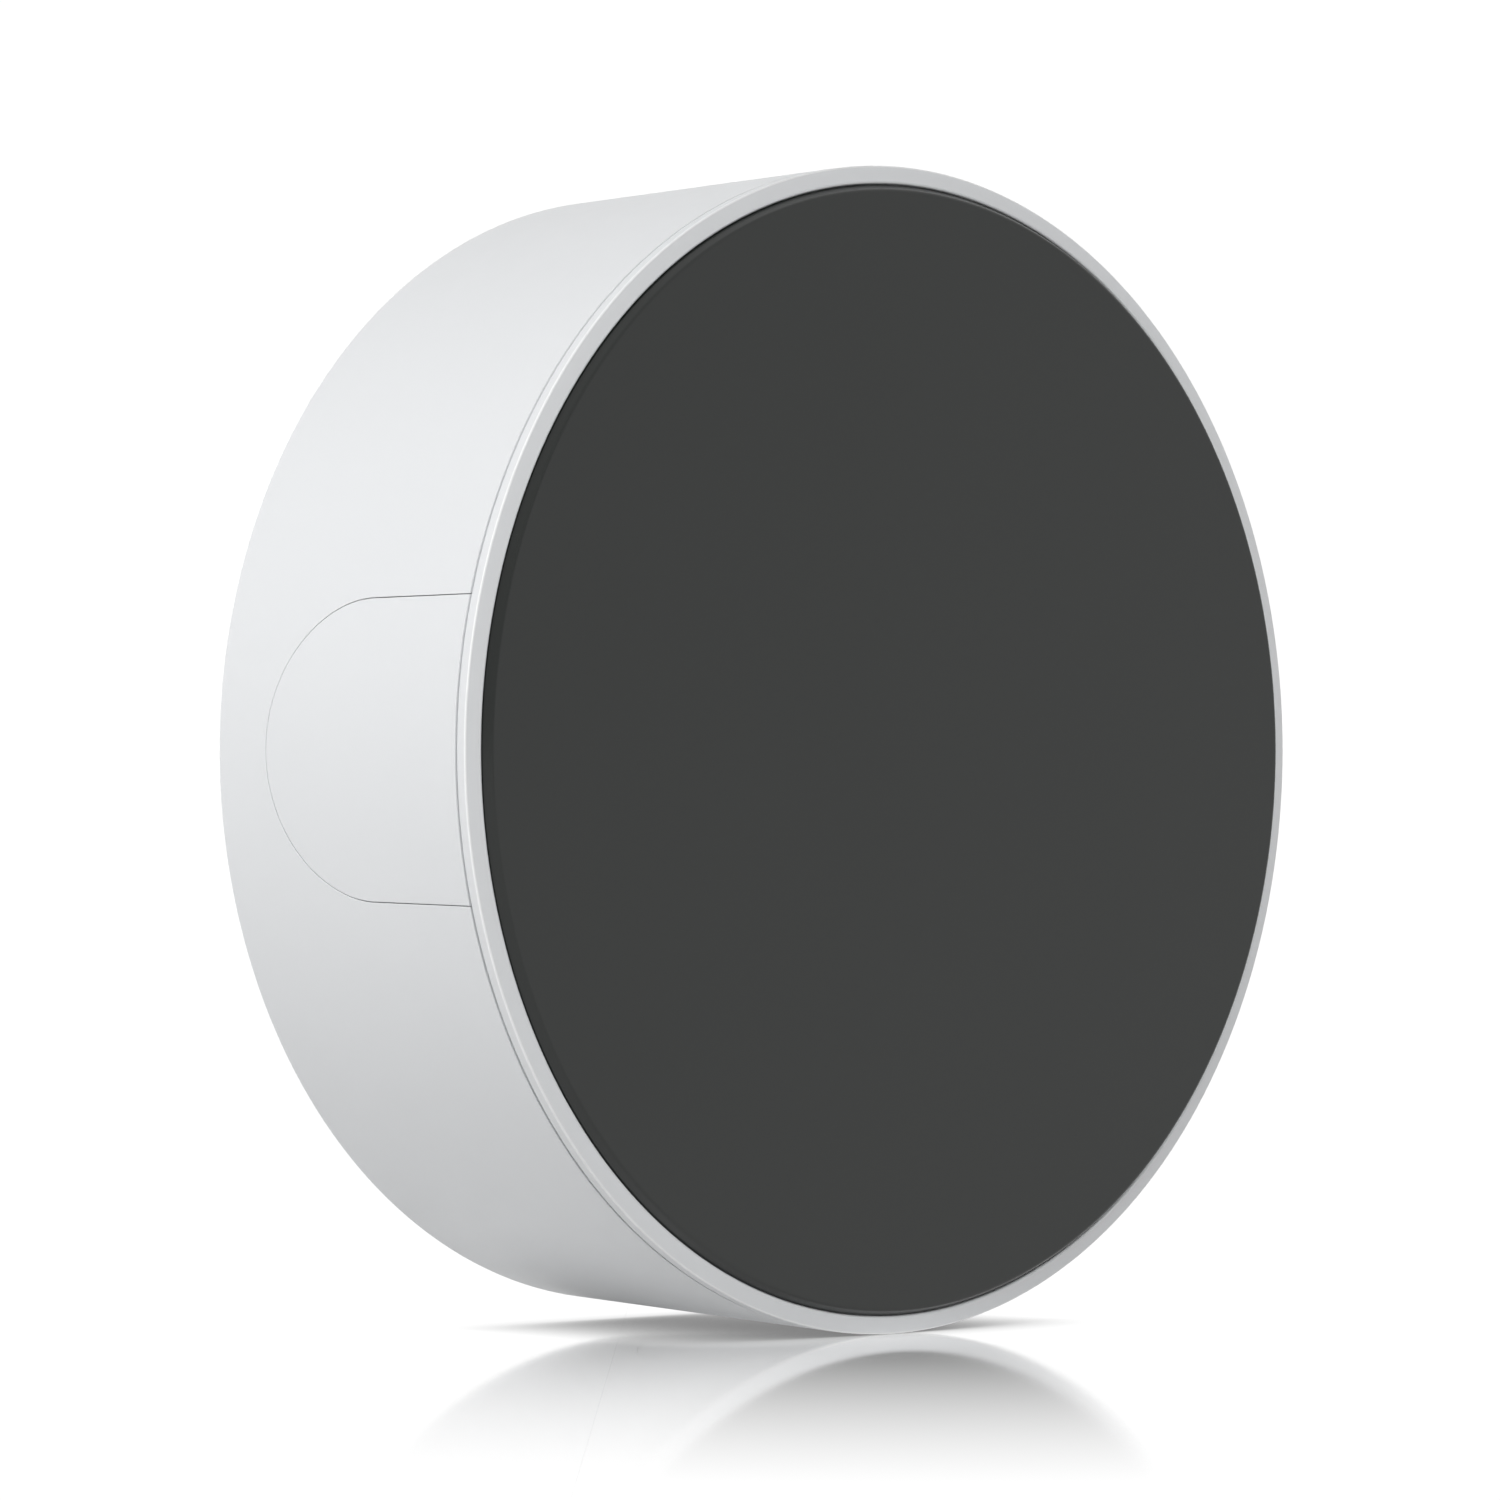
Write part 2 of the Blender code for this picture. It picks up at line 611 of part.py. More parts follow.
def make_heat_sink(base_start):
    """Finned block over the processor, with upright fins that air from the rear slots can reach."""
    width = HEAT_SINK_SIZE[0]
    pitch = (width - FIN_THICKNESS) / (FIN_COUNT - 1)
    top = base_start + HEAT_SINK_HEIGHT
    outline = [(-width / 2, base_start), (width / 2, base_start)]
    for fin in reversed(range(FIN_COUNT)):
        left = -width / 2 + fin * pitch
        right = left + FIN_THICKNESS
        foot = base_start + HEAT_SINK_BASE
        outline += [(right, foot)] if fin < FIN_COUNT - 1 else []
        outline += [(right, top), (left, top)]
        outline += [(left, foot)] if fin > 0 else []
    half_height = HEAT_SINK_SIZE[1] / 2
    location = (PROCESSOR_CENTRE[0], 0.0, PROCESSOR_CENTRE[1])
    return prism("heat_sink", outline, -half_height, half_height, "aluminium", None, location)


def make_processor_stack():
    on_board("processor", PROCESSOR_CENTRE, PROCESSOR_SIZE, PROCESSOR_HEIGHT, "chip_epoxy")
    pad_start = BOARD_BACK + 2 * CONTACT + PROCESSOR_HEIGHT
    sink_start = pad_start + THERMAL_PAD_HEIGHT + CONTACT
    x, z = PROCESSOR_CENTRE
    half_x, half_z = THERMAL_PAD_SIZE[0] / 2, THERMAL_PAD_SIZE[1] / 2
    low = (x - half_x, pad_start, z - half_z)
    high = (x + half_x, pad_start + THERMAL_PAD_HEIGHT, z + half_z)
    box("thermal_pad", low, high, "thermal_silicone")
    make_heat_sink(sink_start)


SHIELD_CENTRE = (11.0 * MM, 20.5 * MM)
SHIELD_SIZE = (16.0 * MM, 14.0 * MM)
SHIELD_HEIGHT = 2.4 * MM
SHIELD_SHEET = 0.3 * MM


def make_shield_can():
    """Sheet-metal can, open towards the board, over the wireless chip."""
    can = on_board("shield_can", SHIELD_CENTRE, SHIELD_SIZE, SHIELD_HEIGHT, "steel")
    x, z = SHIELD_CENTRE
    half_x, half_z = SHIELD_SIZE[0] / 2 - SHIELD_SHEET, SHIELD_SIZE[1] / 2 - SHIELD_SHEET
    roof = BOARD_BACK + CONTACT + SHIELD_HEIGHT - SHIELD_SHEET
    hollow = box("shield_hollow", (x - half_x, BOARD_BACK, z - half_z), (x + half_x, roof, z + half_z))
    return combine(can, "DIFFERENCE", hollow)


CHIP_HEIGHT = 1.0 * MM
TALL_CHIP_HEIGHT = 3.0 * MM
CAPACITOR_RADIUS = 2.5 * MM
CAPACITOR_HEIGHT = 5.4 * MM
POWER_ROW_Z = -25.0 * MM


def make_board_parts():
    """Chips and power parts that stand on the main board."""
    memory_size, flash_size = (7.0 * MM, 10.0 * MM), (11.5 * MM, 13.0 * MM)
    for number, z in enumerate((2.0 * MM, -10.0 * MM), 1):
        on_board(f"memory_chip_{number}", (-15.0 * MM, z), memory_size, CHIP_HEIGHT, "chip_epoxy")
    on_board("flash_chip", (13.8 * MM, -9.5 * MM), flash_size, CHIP_HEIGHT, "chip_epoxy")
    on_board("wireless_chip", SHIELD_CENTRE, (9.0 * MM, 9.0 * MM), CHIP_HEIGHT, "chip_epoxy")
    centre, size = (0.0, -10.0 * MM), (14.0 * MM, 9.0 * MM)
    on_board("ethernet_transformer", centre, size, TALL_CHIP_HEIGHT, "chip_epoxy", True)
    centre, size = (12.0 * MM, POWER_ROW_Z), (7.0 * MM, 7.0 * MM)
    on_board("power_inductor", centre, size, TALL_CHIP_HEIGHT, "chip_epoxy")
    start = BOARD_BACK + CONTACT
    end = start + CAPACITOR_HEIGHT
    for number, x in enumerate((-9.0 * MM, -15.5 * MM), 1):
        name = f"power_capacitor_{number}"
        smooth(rod(name, CAPACITOR_RADIUS, start, end, "aluminium", x, POWER_ROW_Z))


def make_screws():
    """Four screws through the board into its bosses, and four through the rear cover."""
    kinds = [
        ("board_screw", BOARD_BACK + CONTACT, BOSS_CIRCLE, BOARD_SCREW_REACH),
        ("rear_screw", REAR_COVER_BACK - MM + CONTACT, TOWER_CIRCLE, REAR_SCREW_REACH),
    ]
    for kind, seat, circle, reach in kinds:
        profile = [
            (0.0, seat + SCREW_HEAD_HEIGHT),
            (SCREW_HEAD_TOP_RADIUS, seat + SCREW_HEAD_HEIGHT),
            (SCREW_HEAD_RADIUS, seat + SCREW_HEAD_SIDE),
            (SCREW_HEAD_RADIUS, seat),
            (SCREW_RADIUS, seat),
            (SCREW_RADIUS, seat - reach),
            (0.0, seat - reach - SCREW_POINT),
        ]
        for number, angle in enumerate(DIAGONALS, 1):
            x, z = on_circle(circle, angle)
            smooth(turned(f"{kind}_{number}", profile, "steel", x, z, SMALL_SEGMENTS))


FRONT_BOARD_Z = (29.0 * MM, 39.5 * MM)
FRONT_BOARD_HALF_WIDTH = 14.0 * MM
FRONT_BOARD_FRONT = FRAME_FRONT + FRAME_THICKNESS + CONTACT
FRONT_BOARD_THICKNESS = 1.0 * MM
EYE_Z = 33.0 * MM
EYE_SIZE = (5.6 * MM, 2.4 * MM, 5.0 * MM)
EYE_LENS_RADIUS = 1.8 * MM
EYE_LENS_RISE = 0.5 * MM
LIGHT_X = 8.0 * MM
LIGHT_SIZE = (1.6 * MM, 0.7 * MM, 1.6 * MM)
LIGHT_GUIDE_RADII = (1.1 * MM, 1.6 * MM)


def make_front_board():
    """Small board behind the top of the window, with the infrared eye and the status light."""
    low = (-FRONT_BOARD_HALF_WIDTH, FRONT_BOARD_FRONT, FRONT_BOARD_Z[0])
    back = FRONT_BOARD_FRONT + FRONT_BOARD_THICKNESS
    high = (FRONT_BOARD_HALF_WIDTH, back, FRONT_BOARD_Z[1])
    box("front_board", low, high, "circuit_board")
    face = FRONT_BOARD_FRONT - CONTACT
    eye = on_front_board("infrared_receiver", 0.0, EYE_SIZE, face, "chip_epoxy")
    lens_front = face - EYE_SIZE[1] - EYE_LENS_RISE
    lens = rod("infrared_lens", EYE_LENS_RADIUS, lens_front, face - MM, None, 0.0, EYE_Z)
    combine(eye, "UNION", lens)
    on_front_board("status_light", LIGHT_X, LIGHT_SIZE, face, "clear_plastic")
    guide_start, guide_end = WINDOW_BACK + CONTACT, face - LIGHT_SIZE[1] - CONTACT
    guide_profile = [
        (0.0, guide_end),
        (LIGHT_GUIDE_RADII[1], guide_end),
        (LIGHT_GUIDE_RADII[0], guide_start),
        (0.0, guide_start),
    ]
    smooth(turned("light_guide", guide_profile, "clear_plastic", LIGHT_X, EYE_Z, SMALL_SEGMENTS))
    make_front_ribbon(back)


def on_front_board(name, x, size, face, finish):
    """A block on the front board's face, level with the infrared eye."""
    low = (x - size[0] / 2, face - size[1], EYE_Z - size[2] / 2)
    return box(name, low, (x + size[0] / 2, face, EYE_Z + size[2] / 2), finish)


RIBBON_X = -8.0 * MM
RIBBON_HALF_WIDTH = 4.0 * MM
RIBBON_THICKNESS = 0.2 * MM
RIBBON_TOP_Z = 34.0 * MM
RIBBON_BOTTOM_Z = 30.5 * MM


def make_front_ribbon(front_board_back):
    """Flat film that joins the front board to the main board in a slack bend."""
    start, end = front_board_back + CONTACT, BOARD_FRONT - CONTACT
    lead_in, sway = 1.5 * MM, 0.1 * MM
    bends = [
        (RIBBON_TOP_Z, start),
        (RIBBON_TOP_Z - sway, start + lead_in),
        ((RIBBON_TOP_Z + RIBBON_BOTTOM_Z) / 2, (start + end) / 2),
        (RIBBON_BOTTOM_Z + sway, end - lead_in),
        (RIBBON_BOTTOM_Z, end),
    ]
    route = smooth_route([(z, depth, 0.0) for z, depth in bends], 3)
    outline = [(point.x + RIBBON_THICKNESS, point.y) for point in route]
    outline += [(point.x, point.y) for point in reversed(route)]
    side = make_empty("ribbon_plane", FRONT_PLANE, (RIBBON_X, 0.0, 0.0), -math.pi / 2)
    low, high = -RIBBON_HALF_WIDTH, RIBBON_HALF_WIDTH
    return prism("front_ribbon", outline, low, high, "ribbon_film", side)


ANTENNA_ANGLE = math.radians(22)
ANTENNA_RADIUS = 44.8 * MM
ANTENNA_SIZE = (20.0 * MM, 8.0 * MM, 0.6 * MM)
ANTENNA_FRONT = 8.0 * MM
LEAD_RADIUS = 0.55 * MM
LEAD_PLUG_DEPTH = BOARD_BACK + CONTACT + LEAD_RADIUS


def make_antennas():
    """Two flat antennas inside the top of the casing."""
    for side, name in ((-1, "left"), (1, "right")):
        turn = side * ANTENNA_ANGLE
        frame = make_empty(name + "_antenna_frame", FRONT_PLANE, turn=turn)
        half = ANTENNA_SIZE[0] / 2
        low = (-half, ANTENNA_FRONT, ANTENNA_RADIUS)
        high = (half, ANTENNA_FRONT + ANTENNA_SIZE[1], ANTENNA_RADIUS + ANTENNA_SIZE[2])
        box(name + "_antenna", low, high, "ribbon_film", frame)


def make_antenna_leads():
    """A lead from each antenna: back along the casing, in over the board, and down beside the can."""
    ends = {
        -1: [(-13.5, 20.2, 34.0), (-7.0, 20.0, 27.2), (0.0, 19.2, 26.6), (1.2, 17.9, 24.0)],
        1: [(14.7, 20.0, 35.0), (15.2, 19.5, 30.8), (17.5, 18.2, 29.6)],
    }
    plugs = {-1: (1.2, 21.0), 1: (17.5, 28.4)}
    for side, name in ((-1, "left"), (1, "right")):
        corners = [(side * 15.5, 12.0, 40.8), (side * 16.3, 15.0, 40.6), (side * 16.3, 18.5, 39.0)]
        route = [Vector(corner) * MM for corner in corners + ends[side]]
        plug_x, plug_z = plugs[side]
        route.append(Vector((plug_x * MM, LEAD_PLUG_DEPTH, plug_z * MM)))
        smooth(cable(name + "_antenna_lead", smooth_route(route, 3), LEAD_RADIUS, "cable_jacket"))


# ---------------------------------------------------------------- rear


def make_rear_cover():
    """Disc with rays of cooling slots, four counterbored screw holes and the button's hole."""
    cover = rod(
        "rear_cover",
        REAR_COVER_RADIUS,
        REAR_COVER_FRONT,
        REAR_COVER_BACK,
        "white_casing",
        steps=SEGMENTS,
    )
    low, high = REAR_COVER_FRONT - MM, REAR_COVER_BACK + MM
    slots = bmesh.new()
    middle = VENTS_PER_GROUP // 2
    for quarter in range(4):
        for number in range(VENTS_PER_GROUP):
            beside_button = quarter == 1 and abs(number - middle) <= 1
            if beside_button:
                continue
            angle = quarter * math.pi / 2 + (number - middle) * VENT_PITCH
            slot_low = (VENT_INNER_RADIUS, low, -VENT_WIDTH / 2)
            slot_high = (VENT_OUTER_RADIUS, high, VENT_WIDTH / 2)
            add_cube(slots, slot_low, slot_high, -angle)
    combine(
        cover, "DIFFERENCE", place("cooling_slots", mesh_of("cooling_slots", slots), None, FRONT_PLANE)
    )
    for number, angle in enumerate(DIAGONALS, 1):
        x, z = on_circle(TOWER_CIRCLE, angle)
        hole = rod(f"rear_hole_{number}", SCREW_HOLE_RADIUS, low, high, None, x, z)
        seat_low = REAR_COVER_BACK - MM
        seat = rod(f"rear_seat_{number}", SCREW_SEAT_RADIUS, seat_low, high, None, x, z)
        combine(cover, "DIFFERENCE", hole, seat)
    button_hole = rod("button_hole", BUTTON_RADIUS + FIT, low, high, None, 0.0, BUTTON_Z)
    return combine(cover, "DIFFERENCE", button_hole)


def make_rear_pad():
    """Rubber pad that the player rests on when it lies on its back."""
    start, end = REAR_COVER_BACK + CONTACT, CASE_DEPTH + PAD_PROUD
    profile = [
        (0.0, end),
        (PAD_RADIUS - CORNER, end),
        (PAD_RADIUS, end - CORNER),
        (PAD_RADIUS, start),
        (0.0, start),
    ]
    return turned("rear_pad", profile, "grey_rubber")


def make_pair_button():
    """Button in the rear cover whose stem pushes the plunger of a switch on the main board."""
    pivot = make_empty("pair_button_axis", FRONT_PLANE, (0.0, 0.0, BUTTON_Z))
    flange_back = REAR_COVER_FRONT - FIT
    face = REAR_COVER_BACK - CONTACT
    profile = [
        (0.0, face),
        (BUTTON_RADIUS - FIT, face),
        (BUTTON_RADIUS, face - FIT),
        (BUTTON_RADIUS, flange_back),
        (BUTTON_FLANGE_RADIUS, flange_back),
        (BUTTON_FLANGE_RADIUS, flange_back - MM),
        (BUTTON_STEM_RADIUS, flange_back - MM),
        (BUTTON_STEM_RADIUS, PLUNGER_TOP + CONTACT),
        (0.0, PLUNGER_TOP + CONTACT),
    ]
    button = turned("pair_button", profile, "white_casing", steps=BUTTON_STEPS, parent=pivot)
    centre = (0.0, BUTTON_Z)
    switch = on_board("pair_switch", centre, SWITCH_SIZE, SWITCH_HEIGHT, "chip_epoxy")
    plunger_start = PLUNGER_TOP - PLUNGER_LENGTH
    well_floor = plunger_start - BUTTON_TRAVEL - FIT
    well = rod("plunger_well", PLUNGER_RADIUS + FIT, well_floor, PLUNGER_TOP, None, 0.0, BUTTON_Z)
    combine(switch, "DIFFERENCE", well)
    plunger = rod(
        "switch_plunger", PLUNGER_RADIUS, plunger_start, PLUNGER_TOP, "black_plastic", parent=pivot
    )
    smooth(button, plunger)


def socket_window(size, centre):
    """Low and high corners of a socket's window in a bay's floor, a little wider than the socket."""
    half_width, half_height = size[0] / 2 + FIT, size[1] / 2 + FIT
    return (-half_width, centre - half_height), (half_width, centre + half_height)


def make_player():
    left_port = make_empty("left_port", FRONT_PLANE, turn=-math.pi / 2)
    bottom_port = make_empty("bottom_port", FRONT_PLANE, turn=-math.pi)

    smooth(make_front_window(), make_window_gasket(), make_bezel_ring(), make_front_frame())
    smooth(make_body_shell((left_port, bottom_port)))
    smooth(make_port_cover("left_port_cover", left_port), make_port_cover("bottom_port_cover", bottom_port))

    hdmi_window = socket_window(HDMI_SIZE, HDMI_CENTRE)
    usb_c_window = socket_window(USB_C_SIZE, USB_C_CENTRE)
    make_port_bay("left_port_bay", left_port, [hdmi_window])
    make_port_bay("bottom_port_bay", bottom_port, [*ethernet_windows(), usb_c_window])

    make_sockets(left_port, bottom_port)

    make_main_board()
    make_processor_stack()
    make_shield_can()
    make_board_parts()
    make_front_board()
    make_antennas()
    make_antenna_leads()

    smooth(make_rear_cover(), make_rear_pad())
    make_pair_button()
    make_screws()


for old in list(bpy.data.objects):
    bpy.data.objects.remove(old)
PARTS, CUTTERS = make_collections()
FRONT_PLANE = make_empty("front_plane", None, (0.0, -(CASE_DEPTH + PAD_PROUD), 0.0))
make_player()
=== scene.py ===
import cmath
import math

import bpy
from mathutils import Matrix, Vector


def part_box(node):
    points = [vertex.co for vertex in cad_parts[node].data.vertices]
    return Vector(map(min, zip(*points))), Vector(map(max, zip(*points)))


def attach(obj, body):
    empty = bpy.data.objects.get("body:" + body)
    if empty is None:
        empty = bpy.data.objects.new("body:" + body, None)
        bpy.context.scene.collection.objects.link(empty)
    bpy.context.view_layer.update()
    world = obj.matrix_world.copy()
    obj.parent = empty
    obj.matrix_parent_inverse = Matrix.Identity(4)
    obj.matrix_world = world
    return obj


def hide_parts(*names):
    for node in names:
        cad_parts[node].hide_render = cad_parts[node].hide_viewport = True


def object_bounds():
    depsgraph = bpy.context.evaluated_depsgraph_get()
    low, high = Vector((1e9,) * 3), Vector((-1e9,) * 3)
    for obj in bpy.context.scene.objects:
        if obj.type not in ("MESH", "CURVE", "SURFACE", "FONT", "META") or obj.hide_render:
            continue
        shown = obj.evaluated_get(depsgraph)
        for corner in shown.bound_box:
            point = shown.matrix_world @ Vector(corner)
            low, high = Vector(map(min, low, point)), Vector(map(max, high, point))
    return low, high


# Looks of the streaming media player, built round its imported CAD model.
# The drum's axis is Y and its front faces -Y. Depth is counted along +Y from the plane of the
# front rim's corner. A cable port has a frame of its own, in which x runs along the rim, y is the
# depth and z points out of the drum.

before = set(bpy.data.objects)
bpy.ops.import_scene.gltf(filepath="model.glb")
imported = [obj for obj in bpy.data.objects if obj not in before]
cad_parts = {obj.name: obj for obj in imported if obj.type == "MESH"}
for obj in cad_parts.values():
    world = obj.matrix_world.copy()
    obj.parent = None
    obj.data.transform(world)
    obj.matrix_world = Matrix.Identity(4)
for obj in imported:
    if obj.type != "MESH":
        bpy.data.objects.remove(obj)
CAD_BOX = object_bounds()

MM = 0.001
SEGMENTS = 256
SMALL_SEGMENTS = 48
ARC_STEP = math.radians(15)
SHARP_ANGLE = math.radians(32)
SMALLEST_CORNER = 0.02 * MM
END_FLAT = 0.005 * MM  # half of the flat that is left in the middle of a round end

# Casing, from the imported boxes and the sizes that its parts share
CASE_DEPTH = 32.12 * MM
FRONT_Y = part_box("body_shell")[1].y - CASE_DEPTH
FRONT_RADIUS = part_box("bezel_ring")[1].x
REAR_RADIUS = 48.36 * MM
BEZEL_INNER_RADIUS = 48.42 * MM
BAND_SLOPE = math.tan(math.radians(16.26))
BAND_RISE = FRONT_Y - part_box("bezel_ring")[0].y
EDGE_DEPTH = (FRONT_RADIUS - BEZEL_INNER_RADIUS) * BAND_SLOPE - BAND_RISE
WALL = 1.8 * MM
SEAM = 0.15 * MM
FIT = 0.2 * MM
CONTACT = 0.1 * MM
EDGE = 0.06 * MM
PORT_ROUND_CENTRE = 13.2 * MM
PORT_FLARE = 0.015
COVER_GAP = 0.065 * MM
# Width of the painted highlight along the front ring's outer corner
PAINTED_HIGHLIGHT_WIDTH = 0.17 * MM
OUTSIDE = 53.0 * MM
DIAGONALS = [math.radians(45 + 90 * quarter) for quarter in range(4)]


def depths(node):
    """Depth of the front and of the back of a CAD node."""
    low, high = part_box(node)
    return low.y - FRONT_Y, high.y - FRONT_Y


def case_radius(depth):
    """Outer radius of the tapered casing at a depth."""
    return FRONT_RADIUS - (FRONT_RADIUS - REAR_RADIUS) * depth / CASE_DEPTH


# ---------------------------------------------------------------- shapes


def rounded(corners):
    """Points (across, along, arc) of an outline whose (across, along, radius) corners are rounded.

    An arc is (its number, the direction from its centre); it is None at a sharp corner.
    """
    points = []
    for number, (across, along, radius) in enumerate(corners):
        here = complex(across, along)
        if radius == 0:
            points.append((across, along, None))
            continue
        before = complex(*corners[number - 1][:2]) - here
        after = complex(*corners[(number + 1) % len(corners)][:2]) - here
        before, after = before / abs(before), after / abs(after)
        half = abs(cmath.phase(after / before)) / 2
        centre = here + (before + after) / abs(before + after) * radius / math.sin(half)
        arm = here + before * radius / math.tan(half) - centre
        sweep = cmath.phase((here + after * radius / math.tan(half) - centre) / arm)
        steps = math.ceil(abs(sweep) / ARC_STEP - 0.01)
        for step in range(steps + 1):
            spoke = arm * cmath.rect(1, sweep * step / steps)
            point = centre + spoke
            points.append((point.real, point.imag, (number, spoke / radius)))
    return points


def flat(points):
    """Plain (across, along) points."""
    return [point[:2] for point in points]


def signed_area(points):
    """Area of an outline, above zero where it runs counterclockwise."""
    return sum(a[0] * b[1] - b[0] * a[1] for a, b in zip(points, points[1:] + points[:1])) / 2


def edge_normals(start, end):
    """Outward directions at both ends of an outline's edge, which runs counterclockwise."""
    edge = complex(end[0] - start[0], end[1] - start[1])
    outward = -1j * edge / abs(edge)
    if start[2] and end[2] and start[2][0] == end[2][0]:
        sign = 1 if (start[2][1] * outward.conjugate()).real > 0 else -1
        return sign * start[2][1], sign * end[2][1]
    return outward, outward


def lathe(name, corners, x=0.0, z=0.0, segments=SEGMENTS, exact_normals=True):
    """Mesh turned about an axis along Y at x and z, from (radius, depth, fillet) corners."""
    profile = rounded(corners)
    if signed_area(profile) < 0:
        profile.reverse()
    count = len(profile)
    core = [index for index, point in enumerate(profile) if point[0] < 1e-9]
    vertices, ids = [], {}
    for index, (radius, depth, _) in enumerate(profile):
        for turn in range(1 if index in core else segments):
            angle = math.tau * turn / segments
            ids[index, turn] = len(vertices)
            vertices.append((x + radius * math.cos(angle), FRONT_Y + depth, z + radius * math.sin(angle)))
    faces, normals = [], []
    for index in range(count):
        after = (index + 1) % count
        if index in core and after in core:
            continue
        ends = edge_normals(profile[index], profile[after])
        for turn in range(segments):
            face, turns = [], ((index, turn), (after, turn), (after, turn + 1), (index, turn + 1))
            for point, step in turns:
                vertex = ids[point, 0 if point in core else step % segments]
                if vertex in face:
                    continue
                face.append(vertex)
                angle = math.tau * step / segments
                across = ends[point == after]
                normals.append(
                    (across.real * math.cos(angle), across.imag, across.real * math.sin(angle))
                )
            faces.append(face)
    mesh = bpy.data.meshes.new(name)
    mesh.from_pydata(vertices, [], faces)
    mesh.shade_smooth()
    if exact_normals:
        mesh.normals_split_custom_set(normals)
    return mesh


def loft(name, rings, grids=None):
    """Closed mesh through rings that have as many points each. Its ends are single faces, or grids.

    A grid is (rows of points, the order in which its border runs along the ring).
    """
    size = len(rings[0])
    vertices = [tuple(point) for ring in rings for point in ring]
    faces = []
    for level in range(len(rings) - 1):
        for step in range(size):
            after = (step + 1) % size
            low, high = level * size, (level + 1) * size
            faces.append((low + step, low + after, high + after, high + step))
    ends = [0, (len(rings) - 1) * size]
    for end, first in enumerate(ends):
        if grids is None:
            face = [first + step for step in range(size)]
            faces.append(face if end else face[::-1])
            continue
        rows, border = grids[end]
        ids = {cell: first + step for step, cell in enumerate(border)}
        for row, points in enumerate(rows):
            for column, point in enumerate(points):
                if (row, column) not in ids:
                    ids[row, column] = len(vertices)
                    vertices.append(tuple(point))
        for row in range(len(rows) - 1):
            for column in range(len(rows[0]) - 1):
                cells = [(row, column), (row, column + 1), (row + 1, column + 1), (row + 1, column)]
                face = [ids[cell] for cell in cells]
                faces.append(face if end else face[::-1])
    mesh = bpy.data.meshes.new(name)
    mesh.from_pydata(vertices, [], faces)
    return mesh


def port_matrix(turn):
    """From a cable port's frame to the drum's."""
    return Matrix.Translation((0.0, FRONT_Y, 0.0)) @ Matrix.Rotation(turn, 4, "Y")


PORT_COLUMNS = 48
PORT_ROWS = 12


def port_border():
    """Cells (row, column) round the border of a port's grid: front, right, round back, left."""
    border = [(0, column) for column in range(PORT_COLUMNS + 1)]
    border += [(row, PORT_COLUMNS) for row in range(1, PORT_ROWS + 1)]
    border += [(PORT_ROWS, column) for column in reversed(range(PORT_COLUMNS))]
    border += [(row, 0) for row in reversed(range(1, PORT_ROWS))]
    return border


def port_grid(half_width, front, height, flare):
    """Rows of points that fill a port's outline, at a height that may follow a surface."""
    spread = flare * (PORT_ROUND_CENTRE - front)
    rows = []
    for row in range(PORT_ROWS + 1):
        rows.append([])
        for column in range(PORT_COLUMNS + 1):
            angle = math.pi * (column / PORT_COLUMNS - 0.5)
            across = (half_width + spread * (1 - row / PORT_ROWS)) * math.sin(angle)
            back = PORT_ROUND_CENTRE + half_width * math.cos(angle)
            depth = front + (back - front) * row / PORT_ROWS
            rows[row].append((across, depth, height(across, depth)))
    return rows


def port_solid(name, turn, levels, flare=PORT_FLARE):
    """Closed mesh through port outlines, each (half width, front, height), from the inside out."""
    border = port_border()
    grids = [port_grid(*level, flare) for level in levels]
    rings = [[grid[row][column] for row, column in border] for grid in grids]
    mesh = loft(name, rings, [(grids[0], border), (grids[-1], border)])
    mesh.transform(port_matrix(turn))
    return mesh


def on_cone(inset=0.0):
    """Height, in a port's frame, of a surface that lies this far inside the casing's."""
    return lambda across, depth: math.sqrt((case_radius(depth) - inset) ** 2 - across**2)


def level_at(height):
    """Height function of a level surface."""
    return lambda across, depth: height


def sunk(surface, drop):
    """Height function of a surface that lies a drop below another."""
    return lambda across, depth: surface(across, depth) - drop


def quarter_round(size, steps=3):
    """(set back, drop) of points round an edge, from its side to its top."""
    angles = [math.pi / 2 * step / steps for step in range(steps + 1)]
    return [(size * (1 - math.cos(angle)), size * (1 - math.sin(angle))) for angle in angles]


def prism(name, outline, levels, matrix):
    """Closed mesh through copies of an outline, each (grow, height), in the matrix's frame.

    The outline is a function from how far it is grown to its (across, along) points.
    """
    rings = [[(across, along, height) for across, along in outline(grow)] for grow, height in levels]
    if signed_area([point[:2] for point in rings[0]]) < 0:
        rings = [ring[::-1] for ring in rings]
    if levels[0][1] > levels[-1][1]:
        rings = [ring[::-1] for ring in rings]
    mesh = loft(name, rings)
    mesh.transform(matrix)
    return mesh


def rectangle(half_across, half_along, radius, centre=(0.0, 0.0)):
    """Outline function of a rectangle with rounded corners."""

    def outline(grow):
        a, b, corner = half_across + grow, half_along + grow, max(radius + grow, SMALLEST_CORNER)
        x, y = centre
        corners = [(x - a, y - b), (x + a, y - b), (x + a, y + b), (x - a, y + b)]
        return flat(rounded([(*point, corner) for point in corners]))

    return outline


def block(name, low, high, radius, matrix=None, edge=0.1 * MM):
    """Box between two corners with rounded upright edges and eased rims."""
    half_x, half_y = (high[0] - low[0]) / 2, (high[1] - low[1]) / 2
    outline = rectangle(half_x, half_y, radius, ((high[0] + low[0]) / 2, (high[1] + low[1]) / 2))
    rim = quarter_round(edge)
    levels = [(-back, low[2] + drop) for back, drop in reversed(rim)]
    levels += [(-back, high[2] - drop) for back, drop in rim]
    return prism(name, outline, levels, matrix or Matrix.Identity(4))


